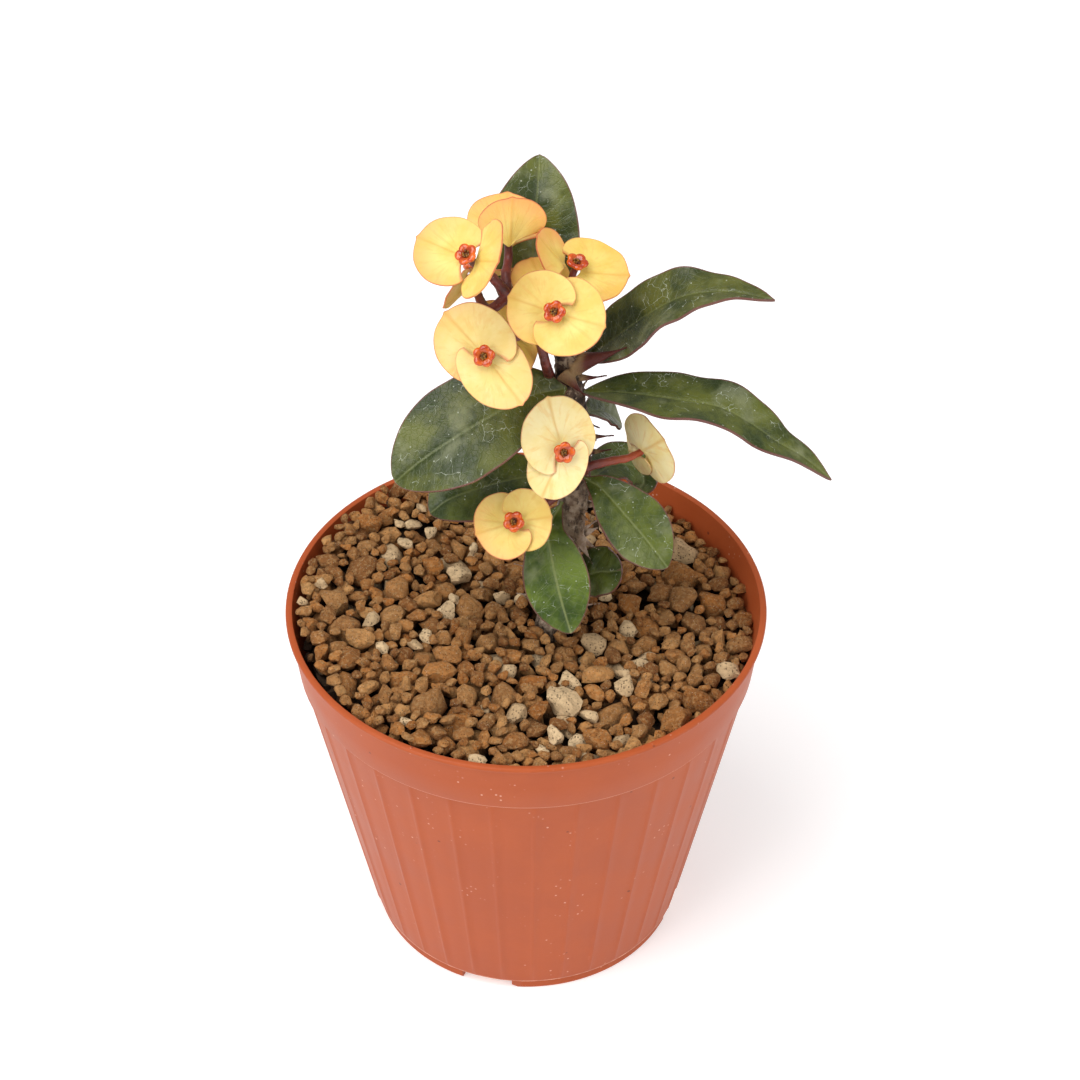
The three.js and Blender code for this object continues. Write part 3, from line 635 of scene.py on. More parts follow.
def leaf_finish(under):
    """Waxy leaf with side veins, a thin purple-brown margin, lime marks and dust. The map gives
    millimetres across from the midrib and along from the base, in hundredths."""
    name = "leaf underside" if under else "leaf upper side"
    material, tree, shader, where = new_finish(name, 0.38, Specular_IOR_Level=0.34)
    flat = add_node(tree, "ShaderNodeUVMap").outputs[0]
    parts = add_node(tree, "ShaderNodeSeparateXYZ", {0: flat}).outputs
    across = calc(tree, "MULTIPLY", calc(tree, "SUBTRACT", parts[0], 0.5), 100.0)
    along = calc(tree, "MULTIPLY", parts[1], 100.0)
    out = calc(tree, "ABSOLUTE", across)
    fresh = kept(tree, "fresh")
    edge = kept(tree, "edge")
    vein_step = kept(tree, "vein_step")
    # side veins leave the midrib at a slant and bend towards the tip
    slant = calc(tree, "MULTIPLY", calc(tree, "POWER", out, 1.12), 0.52)
    shift = calc(tree, "MULTIPLY", calc(tree, "GREATER_THAN", across, 0.0), 0.5)
    wander = calc(tree, "MULTIPLY", clouds(tree, where, 110.0, 2), 1.1)
    phase = calc(tree, "ADD", calc(tree, "DIVIDE", calc(tree, "SUBTRACT", along, slant), vein_step), shift)
    phase = calc(tree, "ADD", phase, wander)
    saw = calc(tree, "ABSOLUTE", calc(tree, "SUBTRACT", calc(tree, "FRACT", phase), 0.5))
    side_vein = ramp(tree, saw, 0.43, 0.5)
    fade = ramp(tree, edge, 0.3, 2.2)
    side_vein = calc(tree, "MULTIPLY", side_vein, fade)
    midrib = ramp(tree, out, 0.55, 0.12)
    small = add_node(tree, "ShaderNodeTexVoronoi", {"Vector": where, "Scale": 720.0},
                     feature="DISTANCE_TO_EDGE").outputs["Distance"]
    net = calc(tree, "MULTIPLY", ramp(tree, small, 0.09, 0.0), 0.35)
    broad = mottle(tree, where, 95.0, 0.36, 0.64)
    if under:
        colour = tint(tree, broad, (0.115, 0.105, 0.062), (0.17, 0.13, 0.095))
        colour = paint(tree, colour, side_vein, 0.35, (0.26, 0.22, 0.13))
        colour = tint(tree, midrib, colour, (0.3, 0.25, 0.13))
    else:
        dark = tint(tree, broad, (0.024, 0.032, 0.006), (0.1, 0.1, 0.018))
        bright = tint(tree, broad, (0.032, 0.062, 0.006), (0.125, 0.18, 0.02))
        colour = tint(tree, fresh, dark, bright)
        colour = paint(tree, colour, net, 0.5, (0.095, 0.14, 0.055))
        vein_share = calc(tree, "ADD", calc(tree, "MULTIPLY", fresh, 0.18), 0.03)
        colour = paint(tree, colour, side_vein, vein_share, (0.2, 0.24, 0.09))
        rib_share = calc(tree, "ADD", calc(tree, "MULTIPLY", fresh, 0.45), 0.14)
        colour = paint(tree, colour, midrib, rib_share, (0.26, 0.29, 0.11))
    haze = mottle(tree, where, 105.0, 0.52, 0.72)
    colour = paint(tree, colour, haze, 0.5, (0.25, 0.265, 0.15))
    bent = add_node(tree, "ShaderNodeTexNoise", {"Vector": where, "Scale": 330.0, "Detail": 2.0})
    pushed = add_node(tree, "ShaderNodeVectorMath", {0: bent.outputs["Color"], 1: (0.004, 0.004, 0.004)},
                      operation="MULTIPLY").outputs[0]
    moved = add_node(tree, "ShaderNodeVectorMath", {0: where, 1: pushed}, operation="ADD").outputs[0]
    lines = add_node(tree, "ShaderNodeTexVoronoi", {"Vector": moved, "Scale": 260.0},
                     feature="DISTANCE_TO_EDGE").outputs["Distance"]
    scribble = ramp(tree, lines, 0.012, 0.003)
    broken = mottle(tree, where, 150.0, 0.53, 0.58)
    scribble = calc(tree, "MULTIPLY", scribble, broken)
    dots = specks(tree, where, 900.0, 0.22, 0.86)
    lime = calc(tree, "MAXIMUM", scribble, calc(tree, "MULTIPLY", dots, 0.8))
    lime_share = 0.25 if under else 0.6
    colour = paint(tree, colour, lime, lime_share, (0.62, 0.66, 0.56))
    margin = ramp(tree, edge, 0.42, 0.1)
    colour = paint(tree, colour, margin, 0.85, (0.16, 0.055, 0.05))
    rough = calc(tree, "ADD", calc(tree, "MULTIPLY", haze, 0.2), 0.55 if under else 0.33)
    rough = calc(tree, "ADD", rough, calc(tree, "MULTIPLY", lime, 0.3))
    grain = skin_grain(tree, where, 800.0)
    sign = 1.0 if under else -1.0
    ribs = calc(tree, "MULTIPLY", calc(tree, "ADD", calc(tree, "MULTIPLY", side_vein, 0.25), net), sign)
    height = calc(tree, "ADD", calc(tree, "MULTIPLY", grain, 0.5), ribs)
    dress(tree, shader, colour, rough, height, 0.00025, 0.5)
    return material


def petal_finish(back):
    """Soft yellow bract: radiating veins, a blush from the margin inwards and a fine red edge.
    The map runs across from lobe to lobe and out from the base to the margin."""
    name = "bract back" if back else "bract face"
    material, tree, shader, where = new_finish(name, 0.55, Specular_IOR_Level=0.3)
    shader.inputs["Subsurface Weight"].default_value = 0.18
    shader.inputs["Subsurface Radius"].default_value = (0.0012, 0.0008, 0.0003)
    shader.inputs["Subsurface Scale"].default_value = 1.0
    flat = add_node(tree, "ShaderNodeUVMap").outputs[0]
    parts = add_node(tree, "ShaderNodeSeparateXYZ", {0: flat}).outputs
    pale, blush = kept(tree, "pale"), kept(tree, "blush")
    edge, mid = kept(tree, "edge"), kept(tree, "mid")
    rays = add_node(tree, "ShaderNodeCombineXYZ", {0: calc(tree, "MULTIPLY", parts[0], 30.0),
                    1: calc(tree, "MULTIPLY", parts[1], 2.2), 2: pale}).outputs[0]
    ray = clouds(tree, rays, 1.0, 3, 0.6)
    ray_vein = ramp(tree, ray, 0.5, 0.68)
    cloud = mottle(tree, where, 170.0, 0.32, 0.68)
    warm = tint(tree, cloud, (0.74, 0.51, 0.1), (0.83, 0.63, 0.18))
    cream = tint(tree, cloud, (0.86, 0.7, 0.33), (0.9, 0.79, 0.47))
    colour = tint(tree, pale, warm, cream)
    # painted shade: the back of each bract is tinted a darker ochre, as it looks in shade
    if back:
        colour = tint(tree, 0.6, colour, (0.7, 0.42, 0.05))
    throat = ramp(tree, parts[1], 0.34, 0.1)
    colour = paint(tree, colour, throat, 0.3, (0.78, 0.6, 0.1))
    colour = paint(tree, colour, ray_vein, 0.34, (0.78, 0.42, 0.1))
    flush = calc(tree, "MULTIPLY", blush, calc(tree, "ADD", 0.45, calc(tree, "MULTIPLY", cloud, 0.4)))
    colour = tint(tree, flush, colour, (0.86, 0.27, 0.09))
    colour = paint(tree, colour, mid, 0.5, (0.66, 0.34, 0.06))
    rim = ramp(tree, edge, 0.3, 0.0)
    rim = calc(tree, "MULTIPLY", rim, ramp(tree, calc(tree, "ADD", blush, cloud), 0.0, 1.1, 0.35, 1.0))
    colour = paint(tree, colour, rim, 0.75, (0.5, 0.085, 0.045))
    grain = skin_grain(tree, where, 1100.0)
    height = calc(tree, "ADD", calc(tree, "MULTIPLY", grain, 0.4), calc(tree, "MULTIPLY", ray_vein, -0.8))
    dress(tree, shader, colour, None, height, 0.00012, 0.4)
    return material


def gland_finish():
    material, tree, shader, where = new_finish("orange glands", 0.22, Coat_Weight=0.7, Coat_Roughness=0.06,
                                               Specular_IOR_Level=0.3)
    cloud = mottle(tree, where, 700.0, 0.35, 0.65)
    colour = tint(tree, cloud, (0.4, 0.03, 0.002), (0.72, 0.12, 0.004))
    inward = kept(tree, "inward")
    colour = paint(tree, colour, inward, 0.7, (0.2, 0.04, 0.006))
    grain = skin_grain(tree, where, 1300.0)
    dress(tree, shader, colour, None, grain, 0.0001, 0.3)
    return material


def cup_finish():
    material, tree, shader, where = new_finish("flower cup", 0.4)
    cloud = mottle(tree, where, 1100.0, 0.4, 0.6)
    colour = tint(tree, cloud, (0.1, 0.015, 0.006), (0.33, 0.15, 0.02))
    grain = skin_grain(tree, where, 1600.0)
    dress(tree, shader, colour, None, grain, 0.0002, 0.5)
    return material


def stalk_finish():
    material, tree, shader, where = new_finish("maroon stalk", 0.42)
    cloud = mottle(tree, where, 300.0, 0.35, 0.65)
    colour = tint(tree, cloud, (0.075, 0.012, 0.01), (0.17, 0.028, 0.02))
    bright = kept(tree, "bright")
    colour = tint(tree, bright, colour, (0.5, 0.09, 0.035))
    lint = specks(tree, where, 1400.0, 0.25, 0.85)
    colour = paint(tree, colour, lint, 0.4, (0.5, 0.3, 0.22))
    grain = skin_grain(tree, where, 900.0)
    dress(tree, shader, colour, None, grain, 0.0002, 0.5)
    return material


# ------------------------------------------------------------------ pot

def inner_radius(z):
    foot = POT["height"] - POT["collar"]
    if z < foot:
        z0, r0, z1, r1 = POT["foot"], POT["base"], foot, POT["wall_top"]
    else:
        z0, r0, z1, r1 = foot, POT["wall_top"], POT["height"], POT["rim"] - 0.4
    return r0 + (r1 - r0) * (z - z0) / (z1 - z0) - POT["wall"]


def pot():
    """Spun from its wall's section, then ribbed, footed and drained."""
    h, foot, lip = POT["height"], POT["height"] - POT["collar"], POT["height"] - POT["lip"]
    floor_top = POT["foot"] + POT["floor"]
    base, top = POT["base"], POT["wall_top"]
    outside = [(0, 3), (POT["pad"] - 0.4, 3), (POT["pad"], 3), (18, 3), (30, 3), (POT["foot_inner"], 3),
               (POT["foot_outer"], 3), (base - 0.35, 3.1), (base - 0.05, 3.45)]
    for z in (4.2, 5.2, 14, 26, 38, 50, 62, 74, 81, foot - 1.0, foot - 0.25):
        outside.append((base + (top - base) * (z - 3.8) / (foot - 3.8), z))
    outside += [(top + 0.15, foot - 0.02), (POT["collar_foot"] - 0.15, foot + 0.22),
                (POT["collar_foot"], foot + 0.5), (58.4, 92), (POT["collar_top"] - 0.03, lip - 0.3),
                (POT["collar_top"], lip - 0.1), (59.65, lip), (59.9, lip + 0.15), (60, lip + 0.45),
                (60, h - 0.45), (59.88, h - 0.16), (59.6, h)]
    inside = [(inner_radius(h) + 0.35, h), (inner_radius(h) + 0.08, h - 0.12), (inner_radius(h), h - 0.4)]
    inside += [(inner_radius(z), z)
               for z in (96, 92, 88, foot + 0.4, foot, 70, 50, 30, 12, floor_top + 1.8)]
    inside += [(inner_radius(floor_top) - 0.5, floor_top + 0.5), (inner_radius(floor_top) - 1.6, floor_top),
               (30, floor_top), (18, floor_top), (0, floor_top)]
    section = outside + inside
    let_go()
    bpy.ops.mesh.primitive_plane_add(size=1)
    piece = bpy.context.object
    piece.name = piece.data.name = "pot_shell"
    bpy.ops.object.mode_set(mode="EDIT")
    mesh = bmesh.from_edit_mesh(piece.data)
    mesh.verts.ensure_lookup_table()
    bmesh.ops.delete(mesh, geom=mesh.verts[1:], context="VERTS")
    mesh.verts.ensure_lookup_table()
    mesh.verts[0].co = (section[0][0] * MM, 0, section[0][1] * MM)
    mesh.verts[0].select = True
    bmesh.update_edit_mesh(piece.data)
    for (r0, z0), (r1, z1) in zip(section, section[1:]):
        bpy.ops.mesh.extrude_vertices_move(
            TRANSFORM_OT_translate={"value": ((r1 - r0) * MM, 0, (z1 - z0) * MM)})
    bpy.ops.mesh.select_all(action="SELECT")
    columns = RIBS * RIB_COLUMNS
    bpy.ops.mesh.spin(steps=columns, angle=2 * math.pi, center=(0, 0, 0), axis=(0, 0, 1))
    bpy.ops.mesh.select_all(action="SELECT")
    bpy.ops.mesh.remove_doubles(threshold=0.00001)
    bpy.ops.mesh.normals_make_consistent(inside=False)
    bpy.ops.object.mode_set(mode="OBJECT")

    # ribs: every eighth column stands proud, and its neighbours close up to it
    co = points_of(piece)
    r = np.hypot(co[:, 0], co[:, 1])
    turn = np.degrees(np.arctan2(co[:, 1], co[:, 0]))
    step = 360 / columns
    column = np.rint(turn / step).astype(int) % columns
    slot = column % RIB_COLUMNS
    period = 360 / RIBS
    pitch = np.array([0, 0.55, 1.1, 3.1, 5.3, 7.5, 9.5, 10.05])[slot]
    angle = np.radians((column // RIB_COLUMNS) * period + pitch + FIRST_RIB)
    z = co[:, 2] / MM
    skin = (z > 3.9) & (z < foot - 0.1) & (r / MM > base + (top - base) * (z - 3.8) / (foot - 3.8) - 0.5)
    ends = np.clip((foot - 0.1 - z) / 2.5, 0, 1) * np.clip((z - 3.9) / 1.5, 0, 1)
    rise = np.array([0.34, 0.26, 0.05, 0, 0, 0, 0, 0.12])[slot] * ends * skin
    r = r + rise * MM
    set_points(piece, np.stack([r * np.cos(angle), r * np.sin(angle), co[:, 2]], 1))

    # feet and the middle pad are drawn down from the underside
    def on_underside(face, low, high):
        c = face.calc_center_median()
        return c.z < 3.05 * MM and face.normal.z < -0.9 and low < math.hypot(c.x, c.y) / MM < high

    def in_foot(face):
        c = face.calc_center_median()
        a = (math.degrees(math.atan2(c.y, c.x)) - POT["foot_turn"] + 45) % 90 - 45
        return abs(a) < POT["foot_sweep"] / 2

    hold(piece)
    bpy.ops.object.mode_set(mode="EDIT")
    for low, high, arcs in ((POT["foot_inner"], POT["foot_outer"], True), (-1, POT["pad"] - 0.3, False)):
        bpy.ops.mesh.select_all(action="DESELECT")
        bpy.ops.mesh.select_mode(type="FACE")
        mesh = bmesh.from_edit_mesh(piece.data)
        for face in mesh.faces:
            face.select = on_underside(face, low, high) and (not arcs or in_foot(face))
        bmesh.update_edit_mesh(piece.data)
        for drop, ease in ((2.6, 0), (0.4, 1)):
            bpy.ops.mesh.extrude_region_move(TRANSFORM_OT_translate={"value": (0, 0, -drop * MM)})
            if ease:
                mesh = bmesh.from_edit_mesh(piece.data)
                mid = (POT["foot_inner"] + POT["foot_outer"]) / 2 * MM
                for v in [v for v in mesh.verts if v.select]:
                    rv = math.hypot(v.co.x, v.co.y)
                    if arcs and rv > 1e-6:
                        k = (mid + (rv - mid) * 0.78) / rv
                        v.co.x, v.co.y = v.co.x * k, v.co.y * k
                    elif rv > 5.8 * MM:
                        v.co.x, v.co.y = v.co.x * 0.95, v.co.y * 0.95
                bmesh.update_edit_mesh(piece.data)
    bpy.ops.object.mode_set(mode="OBJECT")

    # rounded ends of the feet
    co = points_of(piece)
    rv = np.hypot(co[:, 0], co[:, 1])
    turn = np.degrees(np.arctan2(co[:, 1], co[:, 0]))
    a = (turn - POT["foot_turn"] + 45) % 90 - 45
    from_end = (POT["foot_sweep"] / 2 + 0.9 - np.abs(a)) * np.radians(1) * 39
    low = (co[:, 2] < 2.5 * MM) & (rv > 30 * MM)
    drop = np.clip(1 - from_end / 1.6, 0, 1) ** 2
    mid = (POT["foot_inner"] + POT["foot_outer"]) / 2 * MM
    new_r = np.where(low, mid + (rv - mid) * (1 - 0.45 * drop), rv)
    co[:, 0] *= np.where(rv > 0, new_r / np.maximum(rv, 1e-9), 1)
    co[:, 1] *= np.where(rv > 0, new_r / np.maximum(rv, 1e-9), 1)
    co[:, 2] += np.where(low, drop * 1.1 * MM, 0)
    set_points(piece, co)

    # drain holes
    drills = []
    for k in range(8):
        a = math.radians(45 * k)
        let_go()
        bpy.ops.mesh.primitive_cylinder_add(
            vertices=32, radius=POT["drain"] * MM, depth=12 * MM,
            location=(POT["drain_circle"] * math.cos(a) * MM,
                      POT["drain_circle"] * math.sin(a) * MM, 3 * MM))
        drills.append(bpy.context.object)
    drill = join(drills, "drain_drill")
    cut = piece.modifiers.new("drains", "BOOLEAN")
    cut.operation = "DIFFERENCE"
    cut.solver = "EXACT"
    cut.object = drill
    finish_modifiers(piece)
    bpy.data.objects.remove(drill)
    round_shading(piece, 38)
    clothe(piece, pot_plastic())
    return settle(piece, "pot_plastic", "pot")


# ------------------------------------------------------------------ grit

def bed_height(x, y):
    """The heap's top, in millimetres: sloped and lumpy, with a mound at the back left, a rise to the
    left and a hollow at the foot of the stem."""
    lumps = np.sin(x * 0.21 + 1) * np.cos(y * 0.17) + 0.6 * np.sin(x * 0.09 - y * 0.23)
    mound = 2.8 * np.exp(-((x + 35) ** 2 + (y - 38) ** 2) / 260)
    hollow = 2.2 * np.exp(-((x - 5) ** 2 + (y + 6) ** 2) / 30)
    mound = mound + 1.6 * np.clip(-(x + 15) / 35, 0, 1)
    return BED["level"] + BED["slope_x"] * x + BED["slope_y"] * y + 0.5 * lumps + mound - hollow


def model_grains(rng, count, jagged):
    """A few grains modelled one by one: a ball that is chipped flat on some sides and roughened."""
    shapes = []
    for _ in range(count):
        let_go()
        bpy.ops.mesh.primitive_ico_sphere_add(subdivisions=2, radius=1)
        piece = bpy.context.object
        co = points_of(piece)
        for _ in range(rng.integers(7, 12)):
            face = unit(rng.normal(size=3))
            depth = rng.uniform(0.5, 0.8)
            over = np.maximum(co @ face - depth, 0)
            co -= over[:, None] * face * 0.92
        seed = rng.uniform(0, 50, 3)
        for i, p in enumerate(co):
            rough = noise.noise(Vector(p * 1.5 + seed)) * 0.3 + noise.noise(Vector(p * 3.9 + seed)) * jagged
            co[i] = p * (1 + rough)
        co -= (co.max(0) + co.min(0)) / 2
        co /= (co.max(0) - co.min(0)).max() / 2
        corners = np.array([list(p.vertices) for p in piece.data.polygons])
        shapes.append((co, corners))
        bpy.data.objects.remove(piece)
    return shapes


def pour(rng):
    """Drops grains one at a time into the pot. Each takes the lowest of a few places that it could
    roll to, and rests on what lies there already, on a height map of the heap."""
    cell, half = HEAP_CELL, HEAP_HALF
    n = int(2 * half / cell)
    axis = (np.arange(n) + 0.5) * cell - half
    gx, gy = np.meshgrid(axis, axis, indexing="ij")
    heap = bed_height(gx, gy) - HEAP_DEPTH
    wall = inner_radius(94.0)
    heap[np.hypot(gx, gy) > wall] = 400
    heap[np.hypot(gx - 6.8, gy + 0.9) < 4.6] = 400
    grains = []

    def drop(a, b, c, turn, tries, cap):
        reach = max(a, b)
        k = int(reach / cell) + 1
        off = np.arange(-k, k + 1) * cell
        ox, oy = np.meshgrid(off, off, indexing="ij")
        u = ox * math.cos(turn) + oy * math.sin(turn)
        v = -ox * math.sin(turn) + oy * math.cos(turn)
        q = (u / a) ** 2 + (v / b) ** 2
        inside = q < 1
        bulge = np.where(inside, c * np.sqrt(np.clip(1 - q, 0, 1)), 0)
        best = None
        for _ in range(tries):
            rad = (wall - min(a, b) * 0.75) * math.sqrt(rng.random())
            t = rng.random() * 2 * math.pi
            x, y = rad * math.cos(t), rad * math.sin(t)
            i, j = int((x + half) / cell), int((y + half) / cell)
            window = heap[i - k:i + k + 1, j - k:j + k + 1]
            if window.shape != q.shape:
                continue
            rest = np.max(np.where(inside, window + bulge, -1e9))
            sunk = rest - bed_height(x, y)
            if best is None or sunk < best[0]:
                best = (sunk, rest, x, y, i, j)
        if best is None:
            return False
        sunk, rest, x, y, i, j = best
        if sunk + 0.35 * c > cap:
            return False
        rest -= 0.12 * c
        window = heap[i - k:i + k + 1, j - k:j + k + 1]
        top = np.where(inside, rest + bulge * 0.9, -1e9)
        heap[i - k:i + k + 1, j - k:j + k + 1] = np.maximum(window, top)
        grains.append((x, y, rest, a, b, c, turn))
        return True

    misses = 0
    while misses < 260 and len(grains) < 3200:
        size = rng.lognormal(math.log(GRAIN_SIZE["middle"]), GRAIN_SIZE["spread"])
        size = float(np.clip(size, GRAIN_SIZE["least"], GRAIN_SIZE["most"]))
        a = size * rng.uniform(0.95, 1.4)
        b = size * rng.uniform(0.78, 1.0)
        c = size * rng.uniform(0.62, 0.88)
        cap = 1.9 if size < 3 else 2.6
        misses = 0 if drop(a, b, c, rng.random() * math.pi, 14, cap) else misses + 1
    misses = 0
    while misses < 30 and len(grains) < 4200:
        size = rng.uniform(0.55, 1.15)
        a, b, c = size * rng.uniform(0.9, 1.2), size * rng.uniform(0.8, 1.0), size * rng.uniform(0.7, 0.9)
        misses = 0 if drop(a, b, c, rng.random() * math.pi, 6, -1.2) else misses + 1
    return grains


def lay_grains(name, grains, shapes, rng, material, tones):
    """One piece from many copies of the modelled grains, each turned and sized to its place."""
    all_points, all_faces, tone, hue, painted_shade = [], [], [], [], []
    start = 0
    for x, y, z, a, b, c, turn in grains:
        co, faces = shapes[rng.integers(len(shapes))]
        spin = np.array(Matrix.Rotation(rng.uniform(0, 6.28), 3, unit(rng.normal(size=3))))
        q = co @ spin.T
        q = q / ((q.max(0) - q.min(0)) / 2)
        q = q * (a, b, c)
        lean = Matrix.Rotation(rng.normal(0, 0.22), 3, "X") @ Matrix.Rotation(rng.normal(0, 0.22), 3, "Y")
        q = q @ np.array(Matrix.Rotation(turn, 3, "Z") @ lean).T
        q = q + (x, y, z)
        # painted shade: how far under the heap's top each point lies, for the finish to darken
        painted_shade.append(np.clip((bed_height(x, y) + 0.4 - q[:, 2]) / 4.5, 0, 1))
        all_points.append(q * MM)
        all_faces.append(faces + start)
        start += len(co)
        t = float(np.clip(rng.normal(*tones), 0, 1))
        tone += [t] * len(co)
        hue += [rng.random() ** 2] * len(co)
    points = np.concatenate(all_points)
    faces = np.concatenate(all_faces)
    mesh = bpy.data.meshes.new(name)
    mesh.from_pydata(points.tolist(), [], faces.tolist())
    mesh.update()
    piece = bpy.data.objects.new(name, mesh)
    bpy.context.scene.collection.objects.link(piece)
    mark(piece, "tone", tone)
    mark(piece, "hue", hue)
    mark(piece, "painted_shade", np.concatenate(painted_shade))
    mesh.materials.append(material)
    round_shading(piece, 35)
    return settle(piece, "grit")


def grit_floor():
    """The shaded grit under the grains that show, down to the pot's floor."""
    floor_top = POT["foot"] + POT["floor"] + 0.4
    let_go()
    bpy.ops.mesh.primitive_cylinder_add(vertices=96, radius=1, depth=1, end_fill_type="TRIFAN")
    piece = bpy.context.object
    piece.name = piece.data.name = "grit_below"
    bpy.ops.object.mode_set(mode="EDIT")
    bpy.ops.mesh.select_mode(type="FACE")
    for cap in (1, -1):
        for _ in range(6):
            bpy.ops.mesh.select_all(action="DESELECT")
            mesh = bmesh.from_edit_mesh(piece.data)
            for face in mesh.faces:
                face.select = (face.normal.z * cap > 0.9 and face.calc_center_median().xy.length < 0.99
                               and all(v.co.xy.length < 1.001 for v in face.verts)
                               and len(face.verts) == 3)
            bmesh.update_edit_mesh(piece.data)
            bpy.ops.mesh.inset(thickness=0.13)
    bpy.ops.object.mode_set(mode="OBJECT")
    co = points_of(piece)
    x, y = co[:, 0], co[:, 1]
    up = co[:, 2] > 0
    r_top, r_low = inner_radius(86.0) - 0.6, inner_radius(floor_top) - 2.4
    scale = np.where(up, r_top, r_low)
    px, py = x * scale, y * scale
    rough = np.array([noise.noise(Vector((a * 0.5, b * 0.5, 3.1))) for a, b in zip(px, py)])
    z = np.where(up, bed_height(px, py) - 7.6 + rough * 1.4, floor_top)
    set_points(piece, np.stack([px, py, z], 1) * MM)
    clothe(piece, deep_grit())
    round_shading(piece, 40)
    return settle(piece, "grit", "gravel_bed")


def grit():
    rng = np.random.default_rng(20)
    grains = pour(rng)
    grit_floor()
    brown, pale, small = [], [], []
    for g in grains:
        if g[3] > 1.7 and rng.random() < 0.14:
            pale.append(g)
        elif g[3] > 1.45:
            brown.append(g)
        else:
            small.append(g)
    smooth_shapes = model_grains(rng, 14, 0.1)
    rough_shapes = model_grains(rng, 8, 0.16)
    material = grit_brown()
    half = len(brown) // 2
    lay_grains("grains_brown_a", brown[:half], smooth_shapes, rng, material, (0.42, 0.3))
    lay_grains("grains_brown_b", brown[half:], smooth_shapes, rng, material, (0.5, 0.3))
    lay_grains("grains_small", small, smooth_shapes, rng, material, (0.35, 0.2))
    lay_grains("grains_pumice", pale, rough_shapes, rng, grit_pumice(), (0.6, 0.25))


# ------------------------------------------------------------------ stem and stalks

def thorn(root, tip, base, flat):
    root, tip = np.array(root, float), np.array(tip, float)
    tip = root + (tip - root) * 1.04
    middle = root * 0.45 + tip * 0.55 - (0, 0, 0.4)
    return tube("thorn", [root, middle, tip], lambda t: max(base * (1 - t) ** 1.5, 0.2), 12, 14, flat)


def stem_radius(t):
    """At a share t of the way up."""
    return STEM_FOOT - STEM_TAPER * t


def stem():
    centre = smooth_route(STEM_ROUTE, STEM_STEPS + 1)[0]
    axes = []
    pieces = [tube("stem", STEM_ROUTE, stem_radius, 28, 50),
              ball(STEM_ROUTE[-1], (2.75, 2.75, 2.0), 3)]
    for i in range(13):
        t = 0.30 + 0.68 * i / 13
        c = centre[int(round(t * STEM_STEPS))]
        for side in (-0.35, 0.35):
            a = math.radians(i * 137.5) + side
            out = np.array([math.cos(a), math.sin(a), 0.15 + 0.1 * math.sin(3 * i)])
            tip = c + out * (stem_radius(t) + 3.5 + 1.5 * math.sin(5 * i + side * 4))
            axes.append((c, tip, 1.9, 1.0))
    # the old growth at the foot has broad, dry, papery thorns
    for i in range(14):
        t = 0.2 + 0.4 * i / 14
        c = centre[int(round(t * STEM_STEPS))]
        a = math.radians(i * 99 + 200)
        out = np.array([math.cos(a), math.sin(a), -0.15 + 0.45 * math.sin(2.3 * i)])
        axes.append((c, c + out * (8.2 + 1.6 * math.sin(3.1 * i)), 3.6, 0.34))
    axes += [((10.5, 0, 126), (16, -6.5, 118), 4.2, 0.4), ((9.5, -1, 119), (15, -7, 108), 4.4, 0.42),
             ((9, -1, 112), (2.5, -7, 106), 4.0, 0.4), ((8.4, -1, 104), (14.5, -6, 100), 4.0, 0.4),
             ((9.5, -1, 122), (3.5, -7.5, 124), 3.6, 0.4)]
    axes += [(r, t, b, 1.0) if t[2] > 130 else (r, t, b * 1.6, 0.5) for r, t, b in BIG_THORNS]
    for root, tip, base, flat in axes:
        pieces.append(thorn(root, tip, base, flat))
    piece = fuse(pieces, "stem_and_thorns", 0.23, 1)
    co = points_of(piece) / MM
    near = np.full(len(co), 1e9)
    nearest = np.zeros(len(co))
    for k in range(0, STEM_STEPS + 1, 4):
        d = np.linalg.norm(co - centre[k], axis=1)
        closer = d < near
        near = np.where(closer, d, near)
        nearest = np.where(closer, k / STEM_STEPS, nearest)
    skin = stem_radius(nearest)
    out = np.clip((near - skin - 0.2) / 3.0, 0, 1)
    mark(piece, "thorn", out)
    normals = np.array([v.normal for v in piece.data.vertices])
    rough = np.array([noise.fractal(Vector(p * 0.55), 1.0, 2.0, 3) for p in co])
    corky = np.clip(1 - out * 3, 0, 1)
    co += normals * (rough * 0.42 * corky + 0.05)[:, None]
    set_points(piece, co * MM)
    clothe(piece, bark())
    round_shading(piece)
    return settle(piece, "bark", "stem")


def flower_frame(flower):
    z = unit(flower["face"])
    x = unit(np.array([1.0, 0, 0]) - z * z[0])
    return np.stack([x, np.cross(z, x), z], 1), np.array(flower["at"], float)


def stalks(name, material):
    radius, branches = STALKS[name]
    pieces = []
    for k, (route, flower) in enumerate(branches):
        route = [np.array(q, float) for q in route]
        if k == 0:
            route[0] = route[0] - unit(route[1] - route[0]) * STALK_ROOT
        if flower:
            turn, at = flower_frame(FLOWERS[flower])
            route += [tuple(at + turn @ (0, 0, z)) for z in (-3, CUP_FROM - GAP)]
        pieces.append(tube("stalk", route, lambda t: radius * (1 - 0.3 * t), 14, 28))
    piece = fuse(pieces, name + "_grown", 0.22, 3)
    co = points_of(piece) / MM
    normals = np.array([v.normal for v in piece.data.vertices])
    rough = np.array([noise.noise(Vector(p * 0.8)) for p in co])
    set_points(piece, (co + normals * (rough * 0.12)[:, None]) * MM)
    red = np.zeros(len(co))
    if name == "stalk_low":
        # it is a brighter red where it nears the flower at the right
        at = np.array(FLOWERS["flower_9"]["at"])
        red = np.clip(1 - np.linalg.norm(co - at, axis=1) / 14, 0, 1)
    mark(piece, "bright", red)
    clothe(piece, material)
    round_shading(piece)
    return settle(piece, "stalk_red", name)


# ------------------------------------------------------------------ leaves

